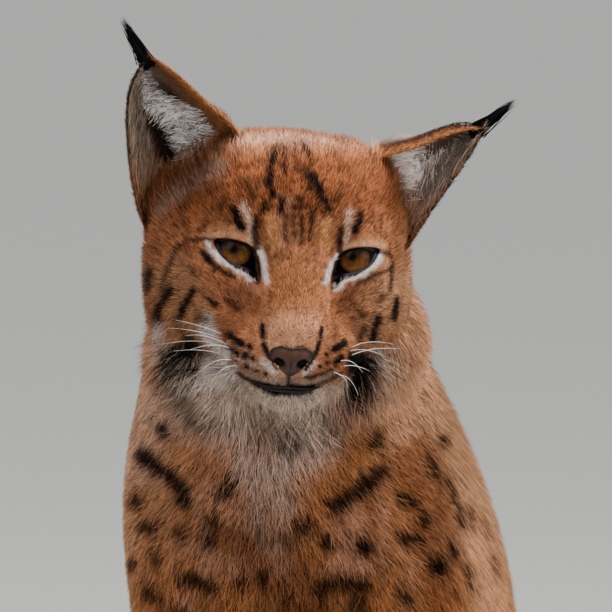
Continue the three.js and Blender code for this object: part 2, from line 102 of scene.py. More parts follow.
def unit(v):
    return v / np.maximum(np.linalg.norm(v, axis=-1, keepdims=True), 1e-9)


def dot(a, b):
    return (a * b).sum(-1)


def hump(distance, width):
    """1 in the middle of a mark, 0.5 at its half width and 0 well outside it"""
    return 1 - ramp(distance, 0.55 * width, 1.45 * width)


# Distances in millimetres, negative inside
def blend(a, b, k):
    """Smooth union of two distances over a width k"""
    h = clip01(0.5 + 0.5 * (b - a) / k)
    return mix(b, a, h) - k * h * (1 - h)


def egg(p, centre, radii, tilt=0.0):
    """Distance to an egg shape turned about x: k0 (k0 - 1) / k1, with k0 the place's length in half sizes and
    k1 that length's slope"""
    d = p - np.array(centre, F)
    if tilt:
        d = d @ turn("x", tilt)
    r = np.array(radii, F)
    k0 = np.sqrt(((d / r) ** 2).sum(-1)) + F(1e-6)
    k1 = np.sqrt(((d / (r * r)) ** 2).sum(-1)) + F(1e-9)
    return k0 * (k0 - 1) / k1


def mirrored(p, shift=0.0):
    """Points of both sides laid onto the left one, about a middle plane at x = shift"""
    return np.stack([np.abs(p[:, 0] - F(shift)), p[:, 1], p[:, 2]], -1)


def pair(p, centre, radii, shift=0.0):
    """The same egg on both sides of a middle plane at x = shift"""
    return egg(mirrored(p, shift), centre, radii)


def cone(p, a, b, ra, rb):
    """Distance to a tapered round bar"""
    a, axis = np.array(a, F), np.array(b, F) - np.array(a, F)
    t = clip01((p - a) @ axis / (axis @ axis))
    return np.linalg.norm(p - a - t[:, None] * axis, axis=-1) - mix(F(ra), F(rb), t)


class Path:
    """A smooth line through rows of x, y, z, half width and half depth: each span is the cubic that passes
    through its two rows with the slopes of their neighbours"""
    KNOTS = 5                             # points in each span that the search for the nearest one starts from
    NEWTON_STEPS = 3

    def __init__(self, rows):
        rows = np.array(rows, F)
        self.rows = np.vstack([2 * rows[0] - rows[1], rows, 2 * rows[-1] - rows[-2]])
        self.spans = len(rows) - 1
        self.knots = np.arange(self.spans * self.KNOTS + 1, dtype=F) / self.KNOTS
        self.samples = self.at(self.knots)[0][:, :3]

    def at(self, t):
        """Value, slope and bend at t"""
        t = np.asarray(t, F)
        i = np.clip(t.astype(int), 0, self.spans - 1)
        f = (t - i)[..., None]
        a, b, c, d = (self.rows[i + k] for k in range(4))
        k1, k2, k3 = c - a, 2 * a - 5 * b + 4 * c - d, 3 * b - 3 * c + d - a
        value = 0.5 * (2 * b + k1 * f + k2 * f * f + k3 * f ** 3)
        slope = 0.5 * (k1 + 2 * k2 * f + 3 * k3 * f * f)
        bend = 0.5 * (2 * k2 + 6 * k3 * f)
        return value, slope, bend

    def nearest(self, p):
        """The t of the line's point nearest to p: the nearest sample, moved by a few Newton steps"""
        best = np.full(len(p), np.inf, F)
        t = np.zeros(len(p), F)
        for knot, at in zip(self.knots, self.samples):
            square = ((p - at) ** 2).sum(-1)
            closer = square < best
            best = np.where(closer, square, best)
            t = np.where(closer, knot, t)
        for _ in range(self.NEWTON_STEPS):
            value, slope, bend = self.at(t)
            d, s, b = value[:, :3] - p, slope[:, :3], bend[:, :3]
            step = dot(d, s) / (dot(s, s) + np.maximum(dot(d, b), 0))
            t = np.clip(t - np.clip(step, -0.2, 0.2), 0, self.spans).astype(F)
        return t

    def distance(self, p):
        """Distance to a tube of elliptical section along the line"""
        v = self.at(self.nearest(p))[0]
        d = p - v[:, :3]
        k = np.sqrt((d[:, 0] / v[:, 3]) ** 2 + (d[:, 1] ** 2 + d[:, 2] ** 2) / v[:, 4] ** 2) + F(1e-6)
        return (k - 1) * np.minimum(v[:, 3], v[:, 4])


# Middle lines of the body, as in the solids: x, y, z, half width, half depth
SPINE = Path([
    [19, -128, 704, 62, 62], [14, -118, 682, 78, 72], [5, -106, 655, 80, 79], [-2, -62, 592, 95, 103],
    [2, -12, 510, 100, 122], [0, 44, 415, 99, 128], [0, 106, 310, 100, 121], [0, 160, 215, 100, 107],
    [0, 200, 140, 98, 96], [0, 226, 100, 84, 80],
])
FORELEG = Path([
    [66, -74, 380, 38, 44], [64, -88, 300, 36, 40], [61, -104, 200, 30, 31], [57, -114, 115, 27, 27],
    [56, -120, 55, 30, 30],
])
SHIN = Path([[98, 30, 200, 40, 44], [108, 84, 140, 36, 38], [104, 138, 80, 30, 32], [102, 172, 46, 28, 29]])
FOOT = Path([[102, 176, 42, 28, 27], [105, 100, 31, 27, 27], [110, 10, 29, 31, 28], [112, -30, 28, 35, 27]])
TAIL = Path([
    [0, 262, 88, 32, 38], [8, 314, 46, 25, 25], [48, 346, 27, 23, 24], [96, 350, 25, 24, 24],
    [134, 340, 25, 22, 22],
])
BRIDGE = Path([[0, 14, 15, 20, 20], [0, -8, 3, 17.5, 18], [0, -33, -14, 19, 15], [0, -52, -30, 16, 11]])
TOES = [[-27, 8, 17], [-10, -4, 19], [9, -5, 19], [26, 6, 17]]    # x and y from the paw's middle, height
TOE_WIDE, TOE_LONG = 10.5, 22.0           # half sizes


def head_form(q):
    """Head in its own frame, out to the tips of its coat"""
    s = RUFF_SHIFT
    d = egg(q, [s * 0.5, 48, 8], [63, 60, 54])                             # braincase
    d = blend(d, pair(q, [26, 42, 32], [24, 28, 27]), 12)                  # crown in front of the ears
    d = blend(d, egg(q, [0, 22, 26], [42, 36, 33]), 20)                    # forehead
    d = blend(d, pair(q, [27, 10, 17], [20, 17, 13]), 12)                  # brows
    d = blend(d, pair(q, [43, 26, -18], [26, 32, 30], s * 0.95), 22)       # cheek bones
    d = blend(d, pair(q, [43, 40, -44], [26, 32, 34], s), 24)              # ruff over the jaw
    d = blend(d, pair(q, [51.5, 46, 2], [17, 28, 32], s * 1.35), 16)       # fur below the ears
    d = blend(d, pair(q, [33, 0, -26], [24, 24, 24]), 16)                  # cheeks below the eyes
    d = blend(d, BRIDGE.distance(q), 12)                                   # bridge of the nose
    d = blend(d, egg(q, [0, -22, -46], [34, 36, 25]), 14)                  # muzzle
    d = blend(d, pair(q, [18, -37, -46], [19, 21, 16]), 8)                 # whisker pads
    d = blend(d, egg(q, [0.5, -52, -43], [13, 11.5, 11]), 7)               # nose
    d = blend(d, egg(q, [0, -33, -66], [19, 19, 13]), 7)                   # chin
    d = blend(d, egg(q, [s * 0.5, 12, -62], [40, 40, 22]), 18)             # throat
    lid = EYE_RADIUS + LID_THICKNESS
    return blend(d, pair(q, [EYE_APART, EYE_DEPTH, 0], [lid, lid, lid]), 5)


def toes(a, x, y):
    """Four toes of a paw whose middle is at x, y"""
    return np.min([egg(a, [x + dx, y + dy, r], [TOE_WIDE, TOE_LONG, r + 1]) for dx, dy, r in TOES], axis=0)


ON_TRUNK, ON_FORELEGS, ON_HINDLEGS, ON_HEAD, ON_TAIL = range(5)    # rows of the distances that forms gives


def forms(p):
    """Distances to trunk with thighs, forelegs, hind legs, head and tail"""
    a = mirrored(p)
    trunk = blend(SPINE.distance(p), egg(a, [58, -56, 518], [37, 66, 112], 20), 26)
    trunk = blend(trunk, egg(a, [80, 96, 190], [52, 128, 108], 10), 30)
    fore = blend(cone(a, [60, -88, 480], [66, -68, 375], 28, 38), FORELEG.distance(a), 20)
    fore = blend(fore, egg(a, [57, -140, 26], [37, 48, 30]), 16)
    fore = blend(fore, toes(a, 57, -170), 7)
    foot = blend(FOOT.distance(a), egg(a, [112, -30, 26], [36, 44, 28]), 12)
    hind = blend(SHIN.distance(a), blend(foot, toes(a, 112, -58), 7), 12)
    return np.stack([trunk, fore, hind, head_form(to_head(p)), TAIL.distance(p)])


BLENDS = (24, 16, 24, 18)                 # widths over which forelegs, hind legs, head and tail blend in


def coat_of(parts):
    """Outline of the whole coat from the distances of its forms"""
    d = parts[0]
    for part, k in zip(parts[1:], BLENDS):
        d = blend(d, part, k)
    return d


def share(a, b, k):
    """1 where form a is the nearer one, 0 where form b is"""
    return clip01(0.5 + 0.5 * (b - a) / k)


def hair_length(p, parts):
    """Length of the hair: 2 to 5 mm on nose, lids and muzzle, 12 on the chest, 24 on the back, 35 in the ruff,
    6 on the toes"""
    trunk, fore, hind, head, tail = parts
    q = to_head(p)
    x, y, z = np.abs(q[:, 0]), q[:, 1], q[:, 2]
    face = np.interp(y, [-60, -30, 0, 25, 50, 85], [2.7, 3.6, 5.4, 9, 15, 23])
    face = face + 15 * ramp(-z, 20, 60) * ramp(y, 5, 45) + 4 * ramp(-z, 58, 75)
    face = face + 15 * ramp(-z, 47, 60) * ramp(x, 15, 28) * ramp(y, -45, -20)
    face = mix(face, np.minimum(face, 10), ramp(z, 15, 45))
    lids = np.sqrt((x - EYE_APART) ** 2 + z * z + (y - EYE_DEPTH) ** 2)
    face = mix(np.minimum(face, 2.6), face, ramp(lids, 18, 27))
    nose = np.sqrt(x * x + (y + 58) ** 2 + (z + 44) ** 2)
    face = mix(np.minimum(face, 1.8), face, ramp(nose, 12, 26))
    leg = np.interp(p[:, 2], [0, 40, 110, 300, 420], [6, 8, 11, 14, 18])
    chest = ramp(-p[:, 1], 20, 90) * ramp(p[:, 2], 470, 560)
    bib = chest * ramp(p[:, 2], 590, 630) * (1 - ramp(np.abs(p[:, 0] - 12), 30, 60))
    body = mix(mix(24, 12, chest) + 7 * bib, leg, share(np.minimum(fore, hind), trunk, 20))
    body = mix(body, 20, share(tail, trunk, 20))
    return mix(body, face, share(head, trunk, 30))


# Lines on the head where the cups of the ears begin
EAR_FOOT = (([-40, 30, 55], [-80, 36, 8]), ([44, 34, 42], [64, 38, -4]))


def ear_foot(q):
    """1 on the head in front of an ear's cup, where long hair grows up into the cup"""
    near = np.stack([cone(q, a, b, 0, 0) for a, b in EAR_FOOT])
    return 1 - ramp(near.min(0), 5, 13)


DEPTH_SHARE = 0.27        # skin below the coat's outline, as a share of the hair's length
SOLE = 1.0                # the soles' skin above the floor


def skin_distance(p):
    """The coat's outline drawn in by a share of the hair's length, cut off just above the floor"""
    parts = forms(p)
    return np.maximum(coat_of(parts) + DEPTH_SHARE * hair_length(p, parts), SOLE - p[:, 2])


CORES = 4
BLOCK = 30000                             # points worked out at a time


def many(function, p):
    """A function of points worked out in blocks on all cores"""
    p = np.asarray(p, F)
    blocks = [p[i:i + BLOCK] for i in range(0, len(p), BLOCK)]
    with ThreadPoolExecutor(CORES) as pool:
        return np.concatenate(list(pool.map(function, blocks)), axis=-1)


def slope(distance, p, e=0.6):
    """Steepest way out of a form at p, from differences along x, y and z"""
    steps = np.eye(3, dtype=F) * F(e)
    return np.stack([many(distance, p + s) - many(distance, p - s) for s in steps], -1) / (2 * e)


def settle(distance, p, rounds=2):
    """Points moved along the slope onto the surface where distance is 0"""
    for _ in range(rounds):
        g = slope(distance, p)
        p = p - (many(distance, p) / np.maximum(dot(g, g), 0.25))[:, None] * g
    return p


ROUGH = 4                                 # the net first looks at every fourth lattice point each way
NEAR = 6.5                                # and at all of them within so many steps of the surface


def lattice_faces(inside, number):
    """A four-sided face round each lattice edge that leaves or enters the form, through the points of the four
    cells that share the edge"""
    count = inside.shape
    faces = []
    for a, b, c in ((0, 1, 2), (1, 2, 0), (2, 0, 1)):
        start, end = [slice(1, n - 1) for n in count], [slice(1, n - 1) for n in count]
        start[a], end[a] = slice(0, count[a] - 1), slice(1, count[a])
        here, there = inside[tuple(start)], inside[tuple(end)]
        for crossing, order in ((here & ~there, 1), (~here & there, -1)):
            edge = np.argwhere(crossing) + 1
            edge[:, a] -= 1
            ring = []
            for back_b, back_c in ((1, 1), (0, 1), (0, 0), (1, 0)):
                cell = edge.copy()
                cell[:, b] -= back_b
                cell[:, c] -= back_c
                ring.append(number[tuple(cell.T)])
            faces.append(np.stack(ring, -1)[:, ::order])
    return np.concatenate(faces)


def evened(points, faces):
    """Points moved 0.6 of the way to the middle of their neighbours, so that the faces come out even"""
    total, times = np.zeros_like(points), np.zeros(len(points), F)
    for i in range(4):
        for j in (1, 3):
            other = points[faces[:, (i + j) % 4]]
            for axis in range(3):
                total[:, axis] += np.bincount(faces[:, i], other[:, axis], len(points))
            times += np.bincount(faces[:, i], minlength=len(points))
    return mix(points, total / times[:, None], 0.6)


def net(distance, low, high, step):
    """Closed surface where distance is 0: one point in each cell of a box lattice that the surface crosses,
    moved onto the surface, and a four-sided face round each lattice edge that it crosses"""
    low = np.array(low, F)
    count = np.ceil((np.array(high) - low) / step).astype(int) + 1
    few = count // ROUGH + 2
    far = many(distance, low + np.argwhere(np.ones(few, bool)) * F(step * ROUGH)).reshape(few)
    pick = [np.minimum((np.arange(n) + ROUGH // 2) // ROUGH, m - 1) for n, m in zip(count, few)]
    value = far[np.ix_(*pick)]
    at = np.argwhere(np.abs(value) < NEAR * step)
    value[tuple(at.T)] = many(distance, low + at * F(step))
    inside = value < 0
    corners = sum(
        inside[i:count[0] - 1 + i, j:count[1] - 1 + j, k:count[2] - 1 + k].astype(np.int8)
        for i, j, k in np.ndindex(2, 2, 2))
    cells = np.argwhere((corners > 0) & (corners < 8))
    number = np.full(corners.shape, -1)
    number[tuple(cells.T)] = np.arange(len(cells))
    faces = lattice_faces(inside, number)
    points = settle(distance, low + (cells + 0.5).astype(F) * F(step))
    return settle(distance, evened(points, faces), 1), faces


# Meshes
def linear(code):
    """sRGB hex to linear light"""
    v = np.array([int(code[i:i + 2], 16) for i in (1, 3, 5)]) / 255
    return np.where(v <= 0.04045, v / 12.92, ((v + 0.055) / 1.055) ** 2.4).astype(F)


def to_object(name, points, faces, material, colours=None, values=None, patches=None):
    """Mesh from points in millimetres and faces of one size or several; colours, single values and patch places
    are laid on its points"""
    groups = faces if isinstance(faces, list) else [faces]
    loops = np.concatenate([g.ravel() for g in groups]).astype(np.int32)
    sizes = np.concatenate([np.full(len(g), g.shape[1]) for g in groups])
    mesh = bpy.data.meshes.new(name)
    mesh.vertices.add(len(points))
    mesh.vertices.foreach_set("co", ((points - ORIGIN) * MM).astype(F).ravel())
    mesh.loops.add(len(loops))
    mesh.loops.foreach_set("vertex_index", loops)
    mesh.polygons.add(len(sizes))
    mesh.polygons.foreach_set("loop_start", (np.cumsum(sizes) - sizes).astype(np.int32))
    mesh.polygons.foreach_set("use_smooth", np.ones(len(sizes), bool))
    if colours is not None:
        layer = mesh.color_attributes.new("coat", "FLOAT_COLOR", "POINT")
        opaque = np.concatenate([colours, np.ones((len(points), 1))], 1).astype(F)
        layer.data.foreach_set("color", opaque.ravel())
    for label, value in (values or {}).items():
        mesh.attributes.new(label, "FLOAT", "POINT").data.foreach_set("value", value.astype(F))
    if patches is not None:
        mesh.uv_layers.new(name="OFBake").data.foreach_set("uv", patches[loops].astype(F).ravel())
    mesh.materials.append(material)
    mesh.validate()
    mesh.update()
    item = bpy.data.objects.new(name, mesh)
    bpy.context.scene.collection.objects.link(item)
    return item


def piece(item, slot, *nodes):
    """Lets a finished piece ride on the body and stand for its nodes"""
    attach(item, "root")
    if nodes:
        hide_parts(*nodes)
    return item


def sheet_faces(rows, columns, closed=False):
    """Four-sided faces between neighbouring points of a grid, whose rows may close on themselves"""
    i, j = np.meshgrid(np.arange(rows - 1), np.arange(columns if closed else columns - 1), indexing="ij")
    i, j = i.ravel(), j.ravel()
    k = (j + 1) % columns
    return np.stack([i * columns + j, i * columns + k, (i + 1) * columns + k, (i + 1) * columns + j], -1)


def facing_front(q, faces):
    """Faces turned so that together they look out of the front of the head"""
    a, b, c = (q[faces[:, k]] for k in range(3))
    return faces[:, ::-1] if np.cross(b - a, c - a)[:, 1].sum() > 0 else faces


def capped(rows, columns):
    """Faces of a closed shell: a grid whose rows close on themselves, and a fan at each end round two points
    that follow the grid's"""
    ring = np.arange(columns)
    following = np.roll(ring, -1)
    last = (rows - 1) * columns
    first_fan = np.stack([following, ring, np.full(columns, rows * columns)], -1)
    last_fan = np.stack([last + ring, last + following, np.full(columns, rows * columns + 1)], -1)
    return [sheet_faces(rows, columns, True), np.concatenate([first_fan, last_fan])]


def outward(points, groups):
    """Faces of a closed shell, turned if they enclose a negative volume"""
    p = (points - points.mean(0)).astype(float)
    volume = sum(
        dot(p[g[:, 0]], np.cross(p[g[:, k]], p[g[:, k + 1]])).sum()
        for g in groups for k in range(1, g.shape[1] - 1))
    return [g[:, ::-1] for g in groups] if volume < 0 else groups


# Materials
def add(tree, kind, inputs=(), **settings):
    """Adds a node, sets its properties, and gives each named socket a value or the output of another node"""
    item = tree.nodes.new("ShaderNode" + kind)
    for key, value in settings.items():
        setattr(item, key, value)
    for key, value in dict(inputs).items():
        if isinstance(value, bpy.types.NodeSocket):
            tree.links.new(value, item.inputs[key])
        else:
            item.inputs[key].default_value = value
    return item


def material(name, build):
    """A material whose shader is made by build, a function of its node tree that returns the shader node"""
    made = bpy.data.materials.new(name)
    made.use_nodes = True
    tree = made.node_tree
    tree.nodes.clear()
    add(tree, "OutputMaterial", {"Surface": build(tree).outputs[0]})
    return made


def rgba(code):
    return tuple(float(v) for v in linear(code)) + (1.0,)


def scale_of(size):
    """Scale of a pattern whose features are so many millimetres across, to two digits"""
    return float(f"{1 / (size * MM):.2g}")


def toned(tree, colour, field, span, tones):
    """A colour made darker and lighter by a field, whose values in span turn into the factors in tones"""
    ends = {"From Min": span[0], "From Max": span[1], "To Min": tones[0], "To Max": tones[1]}
    level = add(tree, "MapRange", {"Value": field, **ends}).outputs[0]
    return add(tree, "VectorMath", {0: colour, "Scale": level}, operation="SCALE").outputs[0]


def hair_build(tree):
    """Guard hair: keratin with a soft gloss; each tuft's colour varies by a 4 mm and a 40 mm mottle, drawn
    coarser than the single hairs of 0.1 mm"""
    colour = add(tree, "VertexColor", layer_name="coat").outputs["Color"]
    place = add(tree, "TexCoord").outputs["Object"]
    fine = add(tree, "TexNoise", {"Vector": place, "Scale": scale_of(4), "Detail": 2.0}).outputs["Fac"]
    broad = add(tree, "TexNoise", {"Vector": place, "Scale": scale_of(40), "Detail": 2.0}).outputs["Fac"]
    both = add(tree, "Math", {0: fine, 1: broad}, operation="ADD").outputs[0]
    shaded = toned(tree, colour, both, (0.7, 1.3), (0.78, 1.2))
    return add(tree, "BsdfPrincipled", {
        "Base Color": shaded, "Roughness": 0.65, "IOR": 1.55, "Specular IOR Level": 0.02,
    })


def skin_build(tree):
    """Skin under the coat, felted with down: short hair drawn as bump, in strands 1.1 mm wide and 6 mm long,
    coarser than down of 0.05 mm"""
    colour = add(tree, "VertexColor", layer_name="coat").outputs["Color"]
    place = add(tree, "TexCoord").outputs["Object"]
    strand = (scale_of(1.11), scale_of(1.11), scale_of(6.25))
    stretched = add(tree, "Mapping", {"Vector": place, "Scale": strand}).outputs[0]
    strands = add(tree, "TexNoise", {"Vector": stretched, "Scale": 1.0, "Detail": 3.0}).outputs["Fac"]
    shaded = toned(tree, colour, strands, (0.3, 0.7), (0.55, 1.15))
    bump = add(tree, "Bump", {"Height": strands, "Strength": 0.7, "Distance": 1.2 * MM}).outputs[0]
    return add(tree, "BsdfPrincipled", {
        "Base Color": shaded, "Roughness": 0.8, "IOR": 1.45, "Normal": bump, "Specular IOR Level": 0.25,
    })


def leather_build(tree):
    """Nose leather and lips: moist hairless skin with pebbles about 0.7 mm across and a mottle of 3.3 mm"""
    colour = add(tree, "VertexColor", layer_name="coat").outputs["Color"]
    place = add(tree, "TexCoord").outputs["Object"]
    pebbles = add(tree, "TexVoronoi", {"Vector": place, "Scale": scale_of(0.714)}).outputs["Distance"]
    mottle = add(tree, "TexNoise", {"Vector": place, "Scale": scale_of(3.3), "Detail": 3.0}).outputs["Fac"]
    shaded = toned(tree, colour, mottle, (0.3, 0.7), (0.7, 1.2))
    bump = add(tree, "Bump", {"Height": pebbles, "Strength": 0.5, "Distance": 0.4 * MM}, invert=True).outputs[0]
    return add(tree, "BsdfPrincipled", {
        "Base Color": shaded, "Roughness": 0.45, "IOR": 1.45, "Normal": bump, "Specular IOR Level": 0.25,
    })


EYE_REACH = 10.0          # distance from the pupil's middle where the eye's colours end
EYE_STOPS = [
    # share of that distance and colour: pupil, amber iris, dark ring, brown white
    (0.0, "#020101"), (0.15, "#030202"), (0.2, "#2b180a"), (0.34, "#4f2f14"), (0.62, "#5c3a18"),
    (0.82, "#52331a"), (0.9, "#26150c"), (0.95, "#0f0907"), (1.0, "#130c0a"),
]


def eye_build(tree):
    """Eyeball: amber iris with fine spokes round a small black pupil, a dark ring and brown white, under a wet
    cornea and in the shade of the upper lid"""
    away, spin, lift = (
        add(tree, "Attribute", attribute_name=label).outputs["Fac"] for label in ("away", "spin", "lift"))
    place = add(tree, "TexCoord").outputs["Object"]
    joined = add(tree, "CombineXYZ", {"X": spin, "Y": away}).outputs[0]
    stretched = add(tree, "Mapping", {"Vector": joined, "Scale": (26.0, 0.35, 1.0)}).outputs[0]
    spokes = add(tree, "TexNoise", {
        "Vector": stretched, "Scale": 1.0, "Detail": 4.0, "Roughness": 0.6,
    }).outputs["Fac"]
    cloud = add(tree, "TexNoise", {"Vector": place, "Scale": scale_of(2.38), "Detail": 2.0}).outputs["Fac"]
    rings = add(tree, "ValToRGB", {
        "Fac": add(tree, "Math", {0: away, 1: EYE_REACH}, operation="DIVIDE").outputs[0],
    })
    for i, (at, code) in enumerate(EYE_STOPS):
        stop = rings.color_ramp.elements[i] if i < 2 else rings.color_ramp.elements.new(at)
        stop.position, stop.color = at, rgba(code)
    both = add(tree, "Math", {0: spokes, 1: cloud}, operation="ADD").outputs[0]
    lit = toned(tree, rings.outputs["Color"], both, (0.75, 1.25), (0.55, 1.5))
    shaded = toned(tree, lit, lift, (-4.0, 5.0), (1.35, 0.12))
    return add(tree, "BsdfPrincipled", {
        "Base Color": shaded, "Roughness": 0.3, "IOR": 1.38, "Specular IOR Level": 0.05,
        "Coat Weight": 0.12, "Coat Roughness": 0.03, "Coat IOR": 1.33,
    })


def whisker_build(tree):
    """Whisker: clear white keratin, faintly banded every 8 mm"""
    place = add(tree, "TexCoord").outputs["Object"]
    bands = add(tree, "TexNoise", {"Vector": place, "Scale": scale_of(8.3)}).outputs["Fac"]
    shade = add(tree, "ValToRGB", {"Fac": bands})
    for stop, (at, code) in zip(shade.color_ramp.elements, ((0.35, "#cfc8c2"), (0.65, "#f6f2ec"))):
        stop.position, stop.color = at, rgba(code)
    return add(tree, "BsdfPrincipled", {"Base Color": shade.outputs["Color"], "Roughness": 0.35, "IOR": 1.55})


def floor_build(tree):
    """Matt painted board, pale, with a faint 33 mm mottle"""
    place = add(tree, "TexCoord").outputs["Object"]
    mottle = add(tree, "TexNoise", {"Vector": place, "Scale": scale_of(33), "Detail": 2.0}).outputs["Fac"]
    shade = add(tree, "ValToRGB", {"Fac": mottle})
    for stop, code in zip(shade.color_ramp.elements, ("#cfccc6", "#d3d0ca")):
        stop.color = rgba(code)
    return add(tree, "BsdfPrincipled", {"Base Color": shade.outputs["Color"], "Roughness": 0.85})


GUARD_HAIR = material("keratin_guard_hair", hair_build)
SKIN = material("felted_skin", skin_build)
LEATHER = material("nose_leather", leather_build)
EYEBALL = material("amber_eye", eye_build)
WHISKER = material("white_whisker", whisker_build)
BOARD = material("matt_painted_board", floor_build)

# Camera axes
azimuth, elevation = np.radians(CAMERA_AZIMUTH), np.radians(CAMERA_ELEVATION)
level_part = np.cos(elevation)
TO_CAMERA = np.array([np.sin(azimuth) * level_part, -np.cos(azimuth) * level_part, np.sin(elevation)], F)
TO_RIGHT = np.array([np.cos(azimuth), np.sin(azimuth), 0], F)
TO_TOP = np.cross(TO_RIGHT, -TO_CAMERA)
half = PHOTO / 2
TARGET = EYES + TO_RIGHT * (half - EYES_IN_PHOTO[0]) * PIXEL + TO_TOP * (EYES_IN_PHOTO[1] - half) * PIXEL


def seen(p):
    """Where a point of the face or chest lies on the photo, in its pixels"""
    d = p - TARGET
    grow = CAMERA_DISTANCE / (CAMERA_DISTANCE - d @ TO_CAMERA) / PIXEL
    return np.stack([half + d @ TO_RIGHT * grow, half - d @ TO_TOP * grow], -1)


